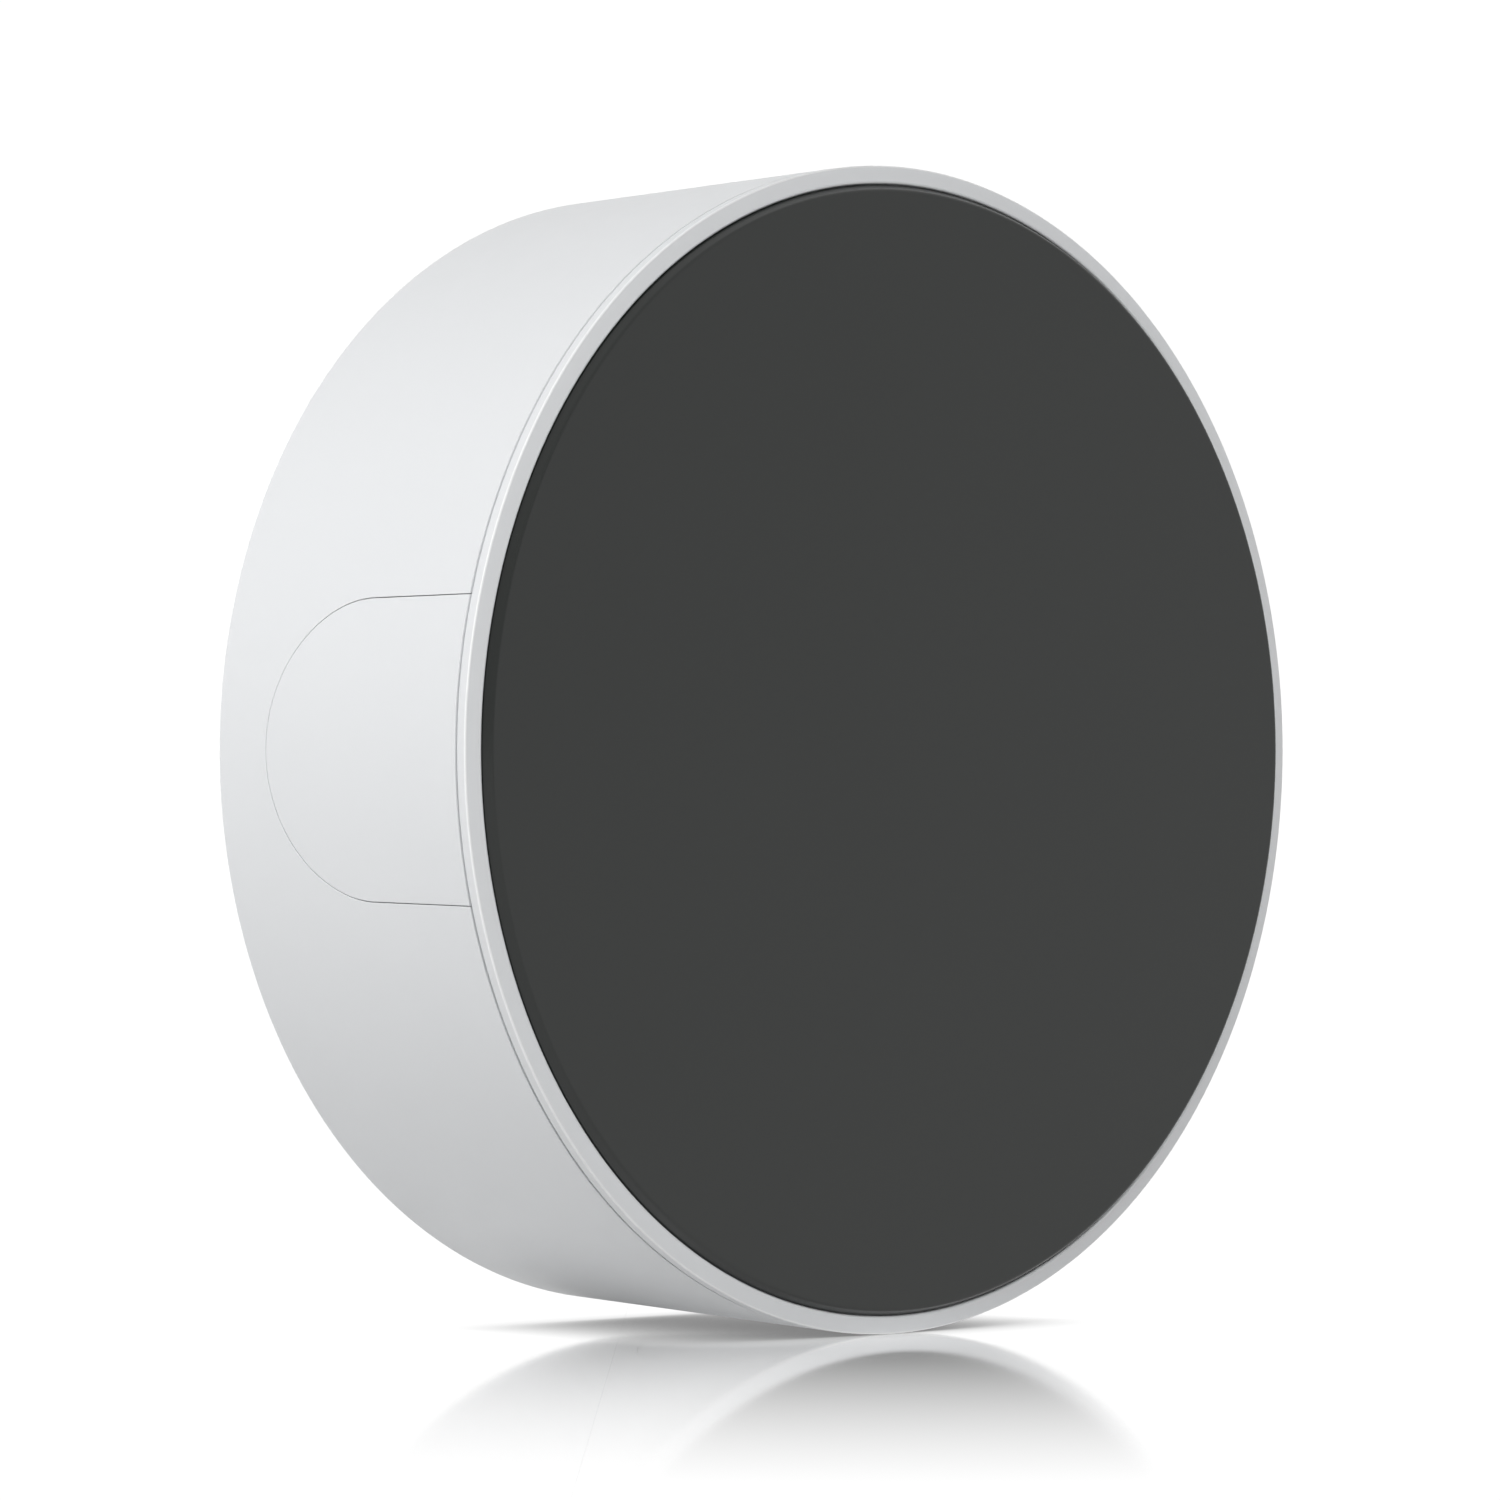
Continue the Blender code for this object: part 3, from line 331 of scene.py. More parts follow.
def join(name, meshes):
    """One mesh of several."""
    vertices, faces = [], []
    for mesh in meshes:
        start = len(vertices)
        vertices += [tuple(vertex.co) for vertex in mesh.vertices]
        faces += [[start + vertex for vertex in face.vertices] for face in mesh.polygons]
        bpy.data.meshes.remove(mesh)
    made = bpy.data.meshes.new(name)
    made.from_pydata(vertices, [], faces)
    return made


def boolean(mesh, operation, other):
    """A mesh cut by another, or joined to it."""
    objects = [bpy.data.objects.new("boolean", data) for data in (mesh, other)]
    for obj in objects:
        bpy.context.scene.collection.objects.link(obj)
    modifier = objects[0].modifiers.new("Boolean", "BOOLEAN")
    modifier.operation = operation
    modifier.object = objects[1]
    graph = bpy.context.evaluated_depsgraph_get()
    made = bpy.data.meshes.new_from_object(objects[0].evaluated_get(graph))
    made.name = mesh.name
    for obj in objects:
        bpy.data.objects.remove(obj)
    for old in (mesh, other):
        bpy.data.meshes.remove(old)
    return made


# ---------------------------------------------------------------- normals


def smooth(mesh, *rules):
    """Smooth shading with sharp edges, and exact normals on the faces that a rule knows.

    A rule takes a face's centre and normal, and gives None or a function from a point to its normal.
    """
    mesh.shade_smooth()
    mesh.set_sharp_from_angle(angle=SHARP_ANGLE)
    normals = [(0.0, 0.0, 0.0)] * len(mesh.loops)
    for face in mesh.polygons:
        for rule in rules:
            normal_at = rule(face.center, face.normal)
            if normal_at is None:
                continue
            for loop in face.loop_indices:
                normals[loop] = normal_at(mesh.vertices[mesh.loops[loop].vertex_index].co)
            break
    mesh.normals_split_custom_set(normals)
    return mesh


LEVEL_COSINE = 0.9999
CONE_COSINE = 0.99
CONE_TOLERANCE = 0.03 * MM


def level_faces(centre, normal):
    """Faces square to the drum's axis keep their own normal."""
    if abs(normal.y) < LEVEL_COSINE:
        return None
    return lambda point: (0.0, math.copysign(1.0, normal.y), 0.0)


def cone_faces(centre, normal):
    """Faces on the casing's outer surface take the cone's own normal."""
    radius = math.hypot(centre.x, centre.z)
    if abs(radius - case_radius(centre.y - FRONT_Y)) > CONE_TOLERANCE:
        return None
    if (normal.x * centre.x + normal.z * centre.z) / radius < CONE_COSINE:
        return None
    slope = (FRONT_RADIUS - REAR_RADIUS) / CASE_DEPTH
    return lambda point: Vector((point.x, slope * math.hypot(point.x, point.z), point.z)).normalized()


# ---------------------------------------------------------------- materials


class Finish:
    """A procedural material: a Principled shader, and short calls for the nodes that feed it."""

    def __init__(self, name, colour, roughness, metallic=0.0, **sockets):
        self.material = bpy.data.materials.new(name)
        self.material.use_nodes = True
        self.tree = self.material.node_tree
        self.shader = self.tree.nodes["Principled BSDF"]
        self.shader.inputs["Base Color"].default_value = (*colour, 1.0)
        self.shader.inputs["Roughness"].default_value = roughness
        self.shader.inputs["Metallic"].default_value = metallic
        for socket, value in sockets.items():
            self.shader.inputs[socket.replace("_", " ")].default_value = value
        self.place = self.node("TexCoord").outputs["Object"]

    def node(self, kind, inputs=None, **settings):
        """New node, whose inputs are values or other nodes' outputs."""
        made = self.tree.nodes.new("ShaderNode" + kind)
        for setting, value in settings.items():
            setattr(made, setting, value)
        for socket, value in (inputs or {}).items():
            if isinstance(value, bpy.types.NodeSocket):
                self.tree.links.new(value, made.inputs[socket])
            else:
                made.inputs[socket].default_value = value
        return made

    def stretched(self, scale):
        """Place on the object, with a scale of its own along each axis."""
        return self.node("Mapping", {"Vector": self.place, "Scale": scale}).outputs["Vector"]

    def noise(self, size, detail=2.0, rough=0.5, vector=None):
        inputs = {"Vector": vector or self.place, "Scale": 1 / size, "Detail": detail, "Roughness": rough}
        return self.node("TexNoise", inputs).outputs["Fac"]

    def cells(self, size, feature="F1"):
        inputs = {"Vector": self.place, "Scale": 1 / size}
        return self.node("TexVoronoi", inputs, feature=feature).outputs["Distance"]

    def spread(self, value, low, high, from_low=0.3, from_high=0.7):
        """A value's range between two limits, spread from low to high."""
        inputs = {0: value, 1: from_low, 2: from_high, 3: low, 4: high}
        return self.node("MapRange", inputs).outputs[0]

    def blend(self, share, first, second):
        """Colour between two colours, by a share from 0 to 1."""
        made = self.node("Mix", data_type="RGBA")
        for socket, value in (("A", first), ("B", second)):
            entry = [i for i in made.inputs if i.name == socket and i.type == "RGBA"][0]
            if isinstance(value, bpy.types.NodeSocket):
                self.tree.links.new(value, entry)
            else:
                entry.default_value = (*value, 1.0)
        self.tree.links.new(share, made.inputs["Factor"])
        return [o for o in made.outputs if o.type == "RGBA"][0]

    def calculate(self, operation, first, second=0.0):
        return self.node("Math", {0: first, 1: second}, operation=operation).outputs[0]

    def length(self, **parts):
        """Length of a vector, from its parts."""
        vector = self.node("CombineXYZ", parts).outputs[0]
        return self.node("VectorMath", {0: vector}, operation="LENGTH").outputs["Value"]

    def from_circle(self, radius, y_centre):
        """Distance to a circle about the Y axis."""
        x, y, z = self.node("SeparateXYZ", {0: self.place}).outputs
        outside = self.calculate("SUBTRACT", self.length(X=x, Z=z), radius)
        return self.length(X=outside, Y=self.calculate("SUBTRACT", y, y_centre))

    def feed(self, socket, value):
        self.tree.links.new(value, self.shader.inputs[socket])
        return self

    def colour(self, share, first, second):
        return self.feed("Base Color", self.blend(share, first, second))

    def roughness(self, value, low, high):
        return self.feed("Roughness", self.spread(value, low, high))

    def bump(self, height, distance, strength=1.0):
        inputs = {"Height": height, "Distance": distance, "Strength": strength}
        normal = self.node("Bump", inputs).outputs["Normal"]
        return self.feed("Normal", normal)


def make_white_casing():
    """Satin moulded plastic: a very fine eroded grain, slow changes of tone, and a painted highlight
    along the front ring's outer corner.
    """
    finish = Finish("white_casing", (0.81, 0.822, 0.834), 0.45)
    tone = finish.blend(finish.noise(24 * MM), (0.795, 0.808, 0.822), (0.822, 0.834, 0.846))
    # Painted highlight: the base colour turns near white within this width of the front ring's outer
    # corner.
    away = finish.from_circle(FRONT_RADIUS, FRONT_Y + EDGE_DEPTH)
    painted_highlight = finish.spread(away, 1.0, 0.0, 0.5 * PAINTED_HIGHLIGHT_WIDTH, PAINTED_HIGHLIGHT_WIDTH)
    finish.feed("Base Color", finish.blend(painted_highlight, tone, (0.98, 0.985, 0.99)))
    finish.roughness(finish.noise(3 * MM, 3.0), 0.42, 0.5)
    return finish.bump(finish.noise(0.11 * MM, 1.5), 0.004 * MM, 0.5).material


def make_smoked_window():
    """Smoked plastic, nearly black, with a satin face and slow changes of tone."""
    finish = Finish("smoked_window", (0.011, 0.0135, 0.012), 0.2, IOR=1.46)
    finish.colour(finish.noise(30 * MM), (0.0095, 0.012, 0.0105), (0.0125, 0.015, 0.0135))
    finish.roughness(finish.noise(12 * MM, 1.0), 0.195, 0.205)
    return finish.bump(finish.noise(0.2 * MM, 1.0), 0.0003 * MM, 0.4).material


def make_black_plastic():
    """Matt moulded black with an eroded grain."""
    finish = Finish("black_plastic", (0.03, 0.03, 0.032), 0.55)
    finish.colour(finish.noise(8 * MM), (0.024, 0.024, 0.026), (0.036, 0.036, 0.038))
    finish.roughness(finish.noise(1.5 * MM, 3.0), 0.48, 0.62)
    return finish.bump(finish.noise(0.16 * MM, 2.0), 0.012 * MM, 0.6).material


def make_black_foam():
    finish = Finish("black_foam", (0.025, 0.025, 0.025), 0.95)
    pores = finish.cells(0.35 * MM)
    finish.colour(pores, (0.012, 0.012, 0.012), (0.05, 0.05, 0.05))
    return finish.bump(pores, 0.1 * MM, 0.8).material


def make_grey_rubber():
    """Moulded silicone with a fine sanded grain and a little dust in it."""
    finish = Finish("grey_rubber", (0.16, 0.165, 0.17), 0.8)
    finish.colour(finish.noise(9 * MM, 6.0), (0.14, 0.145, 0.15), (0.185, 0.19, 0.195))
    finish.roughness(finish.noise(1.2 * MM, 3.0), 0.72, 0.88)
    return finish.bump(finish.noise(0.2 * MM, 3.0), 0.03 * MM, 0.7).material


def make_steel():
    """Bright plated sheet with drawn lines."""
    finish = Finish("steel", (0.62, 0.62, 0.63), 0.32, 1.0)
    lines = finish.noise(0.25 * MM, 4.0, 0.6, finish.stretched((1.0, 0.06, 1.0)))
    finish.colour(finish.noise(5 * MM), (0.56, 0.56, 0.57), (0.68, 0.68, 0.69))
    finish.roughness(lines, 0.24, 0.4)
    return finish.bump(lines, 0.004 * MM, 0.5).material


def make_aluminium():
    """Satin extruded aluminium with lines along the extrusion."""
    finish = Finish("aluminium", (0.72, 0.73, 0.74), 0.38, 1.0)
    lines = finish.noise(0.2 * MM, 4.0, 0.6, finish.stretched((1.0, 1.0, 0.05)))
    finish.colour(finish.noise(6 * MM), (0.66, 0.67, 0.68), (0.77, 0.78, 0.79))
    finish.roughness(lines, 0.3, 0.48)
    return finish.bump(lines, 0.006 * MM, 0.6).material


def make_circuit_board():
    """Solder mask over copper tracks, with tinned pads and vias."""
    finish = Finish("circuit_board", (0.02, 0.13, 0.06), 0.4, Coat_Weight=0.3, Coat_Roughness=0.2)
    tracks = finish.spread(finish.cells(2.2 * MM, "DISTANCE_TO_EDGE"), 1.0, 0.0, 0.10, 0.13)
    vias = finish.spread(finish.cells(1.9 * MM), 1.0, 0.0, 0.13, 0.17)
    mask = finish.blend(tracks, (0.012, 0.085, 0.04), (0.03, 0.17, 0.08))
    finish.feed("Base Color", finish.blend(vias, mask, (0.72, 0.62, 0.36)))
    finish.feed("Metallic", vias)
    finish.roughness(finish.noise(1 * MM), 0.34, 0.46)
    relief = finish.calculate("ADD", tracks, vias)
    return finish.bump(relief, 0.03 * MM, 0.5).material


def make_chip_epoxy():
    """Moulded epoxy with a mineral grain."""
    finish = Finish("chip_epoxy", (0.035, 0.035, 0.038), 0.6)
    finish.colour(finish.noise(0.3 * MM, 4.0), (0.026, 0.026, 0.029), (0.05, 0.05, 0.053))
    finish.roughness(finish.noise(0.5 * MM, 3.0), 0.5, 0.7)
    return finish.bump(finish.noise(0.12 * MM, 2.0), 0.01 * MM, 0.6).material


def make_thermal_silicone():
    finish = Finish("thermal_silicone", (0.42, 0.52, 0.62), 0.85)
    finish.colour(finish.cells(0.4 * MM), (0.36, 0.46, 0.56), (0.48, 0.58, 0.68))
    finish.roughness(finish.noise(0.8 * MM), 0.78, 0.92)
    return finish.bump(finish.noise(0.3 * MM, 3.0), 0.02 * MM, 0.6).material


def make_clear_plastic():
    finish = Finish("clear_plastic", (0.85, 0.87, 0.88), 0.15, IOR=1.49, Transmission_Weight=0.9)
    finish.colour(finish.noise(2 * MM), (0.82, 0.84, 0.85), (0.88, 0.9, 0.91))
    finish.roughness(finish.noise(0.6 * MM), 0.1, 0.22)
    return finish.bump(finish.noise(1 * MM), 0.003 * MM, 0.4).material


def make_ribbon_film():
    """Amber film over copper conductors that run side by side."""
    finish = Finish("ribbon_film", (0.55, 0.28, 0.07), 0.35, Coat_Weight=0.4, Coat_Roughness=0.1)
    inputs = {"Vector": finish.place, "Scale": 1 / (3.2 * MM)}
    stripes = finish.node("TexWave", inputs, bands_direction="X").outputs["Fac"]
    finish.colour(finish.spread(stripes, 0.0, 1.0, 0.45, 0.55), (0.42, 0.19, 0.04), (0.66, 0.36, 0.11))
    finish.roughness(finish.noise(1 * MM), 0.3, 0.42)
    return finish.bump(stripes, 0.01 * MM, 0.4).material


def make_cable_jacket():
    finish = Finish("cable_jacket", (0.05, 0.05, 0.055), 0.45)
    finish.colour(finish.noise(3 * MM), (0.042, 0.042, 0.047), (0.06, 0.06, 0.065))
    finish.roughness(finish.noise(0.5 * MM, 3.0), 0.4, 0.52)
    return finish.bump(finish.noise(0.15 * MM), 0.006 * MM, 0.5).material


def make_gilt():
    """Gold-plated contacts."""
    finish = Finish("gilt", (0.83, 0.62, 0.26), 0.25, 1.0)
    finish.colour(finish.noise(0.4 * MM), (0.76, 0.55, 0.22), (0.88, 0.68, 0.32))
    finish.roughness(finish.noise(0.15 * MM, 3.0), 0.18, 0.34)
    return finish.bump(finish.noise(0.1 * MM), 0.002 * MM, 0.4).material


MATERIALS = {
    "white_casing": make_white_casing(),
    "smoked_window": make_smoked_window(),
    "black_plastic": make_black_plastic(),
    "black_foam": make_black_foam(),
    "grey_rubber": make_grey_rubber(),
    "steel": make_steel(),
    "aluminium": make_aluminium(),
    "circuit_board": make_circuit_board(),
    "chip_epoxy": make_chip_epoxy(),
    "thermal_silicone": make_thermal_silicone(),
    "clear_plastic": make_clear_plastic(),
    "ribbon_film": make_ribbon_film(),
    "cable_jacket": make_cable_jacket(),
    "gilt": make_gilt(),
}


def add_piece(name, mesh, finish, body="casing", stands_for=()):
    """A visible piece that rides on a body and may stand for CAD nodes."""
    mesh.name = name
    mesh.materials.clear()
    mesh.materials.append(MATERIALS[finish])
    piece = bpy.data.objects.new(name, mesh)
    bpy.context.scene.collection.objects.link(piece)
    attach(piece, body)
    if stands_for:
        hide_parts(*stands_for)
    return piece


# ---------------------------------------------------------------- front

LEDGE_RADIUS = 44.5 * MM
SPIGOT_RADIUS = 47.95 * MM
WINDOW_STEP_RADIUS = 47.1 * MM
WINDOW_CHAMFER = (0.45 * MM, 0.8 * MM)


def add_bezel_ring():
    """Front ring: its sloping band meets the drum's side in a small rounded corner."""
    rise, ledge_back = depths("bezel_ring")
    ledge_front = ledge_back - MM
    seam, step = 0.88 * MM, 0.05 * MM
    corners = [
        (FRONT_RADIUS, EDGE_DEPTH, 0.14 * MM),
        (BEZEL_INNER_RADIUS, rise, 0.22 * MM),
        (BEZEL_INNER_RADIUS, step, 0.0),
        (WINDOW_STEP_RADIUS, step, 0.0),
        (WINDOW_STEP_RADIUS, ledge_front, 0.0),
        (LEDGE_RADIUS, ledge_front, 0.0),
        (LEDGE_RADIUS, ledge_back, 0.0),
        (SPIGOT_RADIUS, ledge_back, 0.15 * MM),
        (SPIGOT_RADIUS, seam, 0.0),
        (case_radius(seam), seam, EDGE),
    ]
    add_piece("front_ring", lathe("front_ring", corners), "white_casing", stands_for=["bezel_ring"])


def add_front_window():
    """Smoked disc that stands a little proud of the ring, with a chamfered edge."""
    front, back = depths("front_window")
    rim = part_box("front_window")[1].x
    step = WINDOW_STEP_RADIUS - SEAM
    corners = [
        (0.0, front, 0.0),
        (rim * 0.5, front, 0.0),
        (rim - WINDOW_CHAMFER[0], front, 0.35 * MM),
        (rim, front + WINDOW_CHAMFER[1], 0.1 * MM),
        (rim, -CONTACT, EDGE),
        (step, -CONTACT, 0.0),
        (step, back, 0.0),
        (0.0, back, 0.0),
    ]
    mesh = lathe("smoked_disc", corners)
    add_piece("smoked_disc", mesh, "smoked_window", stands_for=["front_window"])


# ---------------------------------------------------------------- casing and cable ports

PORT_TURNS = {"left": -math.pi / 2, "bottom": -math.pi}
PORT_HALF_WIDTH = 12.6 * MM
BAY_FLOOR = 36.0 * MM
BAY_WALL = 1.2 * MM
BAY_HALF_WIDTH = 13.2 * MM
BAY_FRONT = 4.2 * MM
LEG_ACROSS = 10.6 * MM
LEG_THICKNESS = 1.6 * MM
LEG_DEPTHS = (8.0 * MM, 16.0 * MM)
LEG_HEIGHTS = (42.5 * MM, 47.3 * MM)


def fitted(outline):
    """Outline function with room to fit round another."""
    return lambda grow: outline(grow + FIT)


def make_notch(turn):
    """Cutter for a port cover's notch, flared at the casing's surface to ease its edge."""
    half, front = PORT_HALF_WIDTH + COVER_GAP, -MM
    levels = [(half, front, level_at(BAY_FLOOR))]
    for back, drop in quarter_round(EDGE):
        levels.append((half + back, front, sunk(on_cone(), drop)))
    levels.append((half + EDGE, front, level_at(OUTSIDE)))
    return port_solid("notch", turn, levels)


def add_body_shell():
    """Tapered drum wall with a notch for each port cover and a ledge for the rear cover."""
    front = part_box("body_shell")[0].y - FRONT_Y
    ledge_back, ledge_front, rib = 30.0 * MM, 28.9 * MM, 27.1 * MM
    rim, ledge = 46.6 * MM, 44.9 * MM
    corners = [
        (case_radius(front), front, EDGE),
        (REAR_RADIUS, CASE_DEPTH, 0.2 * MM),
        (rim, CASE_DEPTH, 0.15 * MM),
        (rim, ledge_back, 0.0),
        (ledge, ledge_back, 0.0),
        (ledge, ledge_front, 0.1 * MM),
        (case_radius(rib) - WALL, rib, 0.3 * MM),
        (case_radius(front) - WALL, front, EDGE),
    ]
    mesh = lathe("casing_shell", corners, exact_normals=False)
    for turn in PORT_TURNS.values():
        mesh = boolean(mesh, "DIFFERENCE", make_notch(turn))
    smooth(mesh, level_faces, cone_faces)
    add_piece("casing_shell", mesh, "white_casing", stands_for=["body_shell"])


def add_port_cover(side):
    """Flush cover with eased edges, and two legs that grip the bay behind it."""
    node, turn = side + "_port_cover", PORT_TURNS[side]
    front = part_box(node)[0].y - FRONT_Y
    inner = on_cone(WALL)
    levels = []
    for back, drop in reversed(quarter_round(EDGE)):
        levels.append((PORT_HALF_WIDTH - back, front + back, sunk(inner, -drop)))
    for back, drop in quarter_round(EDGE):
        levels.append((PORT_HALF_WIDTH - back, front + back, sunk(on_cone(), drop)))
    mesh = port_solid(node, turn, levels)
    for across in (-LEG_ACROSS, LEG_ACROSS):
        low = (across - LEG_THICKNESS / 2, LEG_DEPTHS[0], LEG_HEIGHTS[0])
        high = (across + LEG_THICKNESS / 2, LEG_DEPTHS[1], LEG_HEIGHTS[1])
        leg = block("leg", low, high, 0.4 * MM, port_matrix(turn), 0.3 * MM)
        mesh = boolean(mesh, "UNION", leg)
    smooth(mesh, cone_faces)
    add_piece(side + "_cover", mesh, "white_casing", side + "_cover", [node])


def add_port_bay(side, windows):
    """Dark tub behind a cover, with the sockets' windows in its floor."""
    turn, node = PORT_TURNS[side], side + "_port_bay"
    rim, lip = on_cone(WALL + FIT), 0.15 * MM
    inner_half, inner_front = BAY_HALF_WIDTH - BAY_WALL, BAY_FRONT + BAY_WALL
    floor = BAY_FLOOR + BAY_WALL
    levels = [(BAY_HALF_WIDTH, BAY_FRONT, level_at(BAY_FLOOR))]
    for back, drop in quarter_round(lip):
        levels.append((BAY_HALF_WIDTH - back, BAY_FRONT + back, sunk(rim, drop)))
    for back, drop in reversed(quarter_round(lip)):
        levels.append((inner_half + back, inner_front - back, sunk(rim, drop)))
    for back, drop in quarter_round(0.4 * MM):
        levels.append((inner_half - back, inner_front + back, level_at(floor + drop)))
    mesh = port_solid(node, turn, levels, flare=0.0)
    for outline in windows:
        chamfer = [(0.0, BAY_FLOOR - MM), (0.0, floor - lip), (lip, floor), (lip, floor + 2 * MM)]
        mesh = boolean(mesh, "DIFFERENCE", prism("window", outline, chamfer, port_matrix(turn)))
    add_piece(side + "_bay", smooth(mesh), "black_plastic", stands_for=[node])


# ---------------------------------------------------------------- sockets

# A span is a socket's (start, mouth), a tongue's size is (width, thickness), and its contacts are
# (count on a side, pitch, width).
HDMI_CENTRE = 12.6 * MM
HDMI_WALL = 0.5 * MM
HDMI_SPAN = (26.5 * MM, 38.2 * MM)
HDMI_TONGUE = (11.0 * MM, 1.0 * MM)
HDMI_CONTACTS = (10, 1.0 * MM, 0.45 * MM)
USB_C_CENTRE = 18.3 * MM
USB_C_WALL = 0.33 * MM
USB_C_SPAN = (30.8 * MM, 38.2 * MM)
USB_C_TONGUE = (6.6 * MM, 0.7 * MM)
USB_C_CONTACTS = (12, 0.5 * MM, 0.25 * MM)
CONTACT_RISE = 0.04 * MM
CONTACT_SETBACK = 1.6 * MM


def hdmi_outline(grow):
    """Flat-backed outline whose front corners are cut at a slant."""
    half, half_height = 7.5 * MM + grow, 2.8 * MM + grow
    front, back = HDMI_CENTRE - half_height, HDMI_CENTRE + half_height
    slant, corner = 1.9 * MM, 0.5 * MM
    corners = [
        (half, back),
        (-half, back),
        (-half, front + slant),
        (-half + slant, front),
        (half - slant, front),
        (half, front + slant),
    ]
    return flat(rounded([(*point, corner) for point in corners]))


def usb_c_outline(grow):
    """Round-ended outline."""
    half_width, half_height = 4.5 * MM, 1.6 * MM
    return rectangle(half_width, half_height, half_height - END_FLAT, (0.0, USB_C_CENTRE))(grow)


def add_plug_socket(node, side, outline, centre, wall, span, tongue, contacts):
    """Drawn steel shell with a rolled mouth, a black tongue in it, and gilt contacts on that."""
    matrix = port_matrix(PORT_TURNS[side])
    start, mouth = span
    rolled = quarter_round(wall / 2)
    levels = [(-back, start + drop) for back, drop in reversed(rolled)]
    levels += [(-back, mouth - drop) for back, drop in rolled]
    levels += [(-wall + back, mouth - drop) for back, drop in reversed(rolled)]
    levels += [(-wall, start + 2 * wall)]
    shell = smooth(prism(node, outline, levels, matrix))
    add_piece(node + "_shell", shell, "steel", stands_for=[node])
    half_width, half_height = tongue[0] / 2, tongue[1] / 2
    low = (-half_width, centre - half_height, start + 2 * wall)
    high = (half_width, centre + half_height, mouth - MM)
    easing = half_height * 0.4
    blade = smooth(block("tongue", low, high, easing, matrix, easing))
    add_piece(node + "_tongue", blade, "black_plastic")
    count, pitch, width = contacts
    strips = []
    for face in (-1, 1):
        for number in range(count):
            across = (number - (count - 1) / 2) * pitch
            surface = centre + face * half_height
            low = (across - width / 2, surface - CONTACT_RISE, start + 3 * wall)
            high = (across + width / 2, surface + CONTACT_RISE, mouth - CONTACT_SETBACK)
            strips.append(block("strip", low, high, 0.03 * MM, matrix, 0.02 * MM))
    add_piece(node + "_contacts", smooth(join("contacts", strips)), "gilt")


def add_hdmi_socket():
    shape = (hdmi_outline, HDMI_CENTRE, HDMI_WALL, HDMI_SPAN, HDMI_TONGUE, HDMI_CONTACTS)
    add_plug_socket("hdmi_socket", "left", *shape)


def add_usb_c_socket():
    shape = (usb_c_outline, USB_C_CENTRE, USB_C_WALL, USB_C_SPAN, USB_C_TONGUE, USB_C_CONTACTS)
    add_plug_socket("usb_c_socket", "bottom", *shape)


ETHERNET_HALF_WIDTH = 8.0 * MM
ETHERNET_SPAN = (17.7 * MM, 35.8 * MM)
ETHERNET_MOUTH = rectangle(6.0 * MM, 4.1 * MM, 0.3 * MM, (0.0, 9.6 * MM))
ETHERNET_LATCH = rectangle(3.1 * MM, 1.1 * MM, 0.25 * MM, (0.0, 13.8 * MM))
ETHERNET_HOLE_DEPTH = 13.0 * MM
WIRES = 8
WIRE_PITCH = 1.02 * MM
WIRE_DEPTH = 6.6 * MM
WIRE_BELOW_MOUTH = 6.0 * MM
WIRE_SLANT = math.radians(24)
WIRE_HALF_SECTION = (0.2 * MM, 0.15 * MM)
WIRE_ENDS = (-5.0 * MM, 3.4 * MM)


def add_ethernet_socket():
    """Black block with the plug's hole, the latch's slot, and eight sprung contacts in it."""
    matrix = port_matrix(PORT_TURNS["bottom"])
    front, back = depths("ethernet_socket")
    start, mouth = ETHERNET_SPAN
    low, high = (-ETHERNET_HALF_WIDTH, front, start), (ETHERNET_HALF_WIDTH, back, mouth)
    mesh = block("ethernet_body", low, high, 0.3 * MM, matrix, 0.15 * MM)
    floor, lip = mouth - ETHERNET_HOLE_DEPTH, 0.25 * MM
    levels = [(0.0, floor), (0.0, mouth - lip), (lip, mouth), (lip, mouth + MM)]
    for outline in (ETHERNET_MOUTH, ETHERNET_LATCH):
        mesh = boolean(mesh, "DIFFERENCE", prism("hole", outline, levels, matrix))
    add_piece("ethernet_body", smooth(mesh), "black_plastic", stands_for=["ethernet_socket"])
    wires = []
    half_width, half_thickness = WIRE_HALF_SECTION
    low = (-half_width, -half_thickness, WIRE_ENDS[0])
    high = (half_width, half_thickness, WIRE_ENDS[1])
    slant = Matrix.Rotation(WIRE_SLANT, 4, "X")
    for number in range(WIRES):
        across = (number - (WIRES - 1) / 2) * WIRE_PITCH
        middle = Matrix.Translation((across, WIRE_DEPTH, mouth - WIRE_BELOW_MOUTH))
        wires.append(block("wire", low, high, 0.12 * MM, matrix @ (middle @ slant), 0.1 * MM))
    add_piece("ethernet_contacts", smooth(join("wires", wires)), "gilt")


# ---------------------------------------------------------------- rear

VENT_SPAN = (29.5 * MM, 40.5 * MM)
VENT_WIDTH = 2.0 * MM
VENT_PITCH = math.radians(9)
VENTS_PER_GROUP = 7
TOWER_CIRCLE = 41.3 * MM
BOARD_SCREW_CIRCLE = 34.0 * MM
BUTTON_Z = 32.0 * MM
BUTTON_RADIUS = 2.7 * MM
SCREW_SEAT_RADIUS = 2.5 * MM
SCREW_HOLE_RADIUS = 1.4 * MM
SCREW_SEAT_DEPTH = 1.0 * MM
SCREW_HEAD_RADIUS = 2.2 * MM
SCREW_HEAD_HEIGHT = 0.9 * MM
SCREW_SHANK_RADIUS = 1.0 * MM
SCREW_POINT = 0.6 * MM
SCREW_TURN = 0.3


def rearward(x=0.0, z=0.0, turn=0.0):
    """Frame at the front plane's depth whose z is the depth and whose x points along a ray."""
    across = Vector((math.cos(turn), 0.0, math.sin(turn)))
    depth = Vector((0.0, 1.0, 0.0))
    along = depth.cross(across)
    rows = Matrix((across, along, depth)).transposed().to_4x4()
    return Matrix.Translation((x, FRONT_Y, z)) @ rows


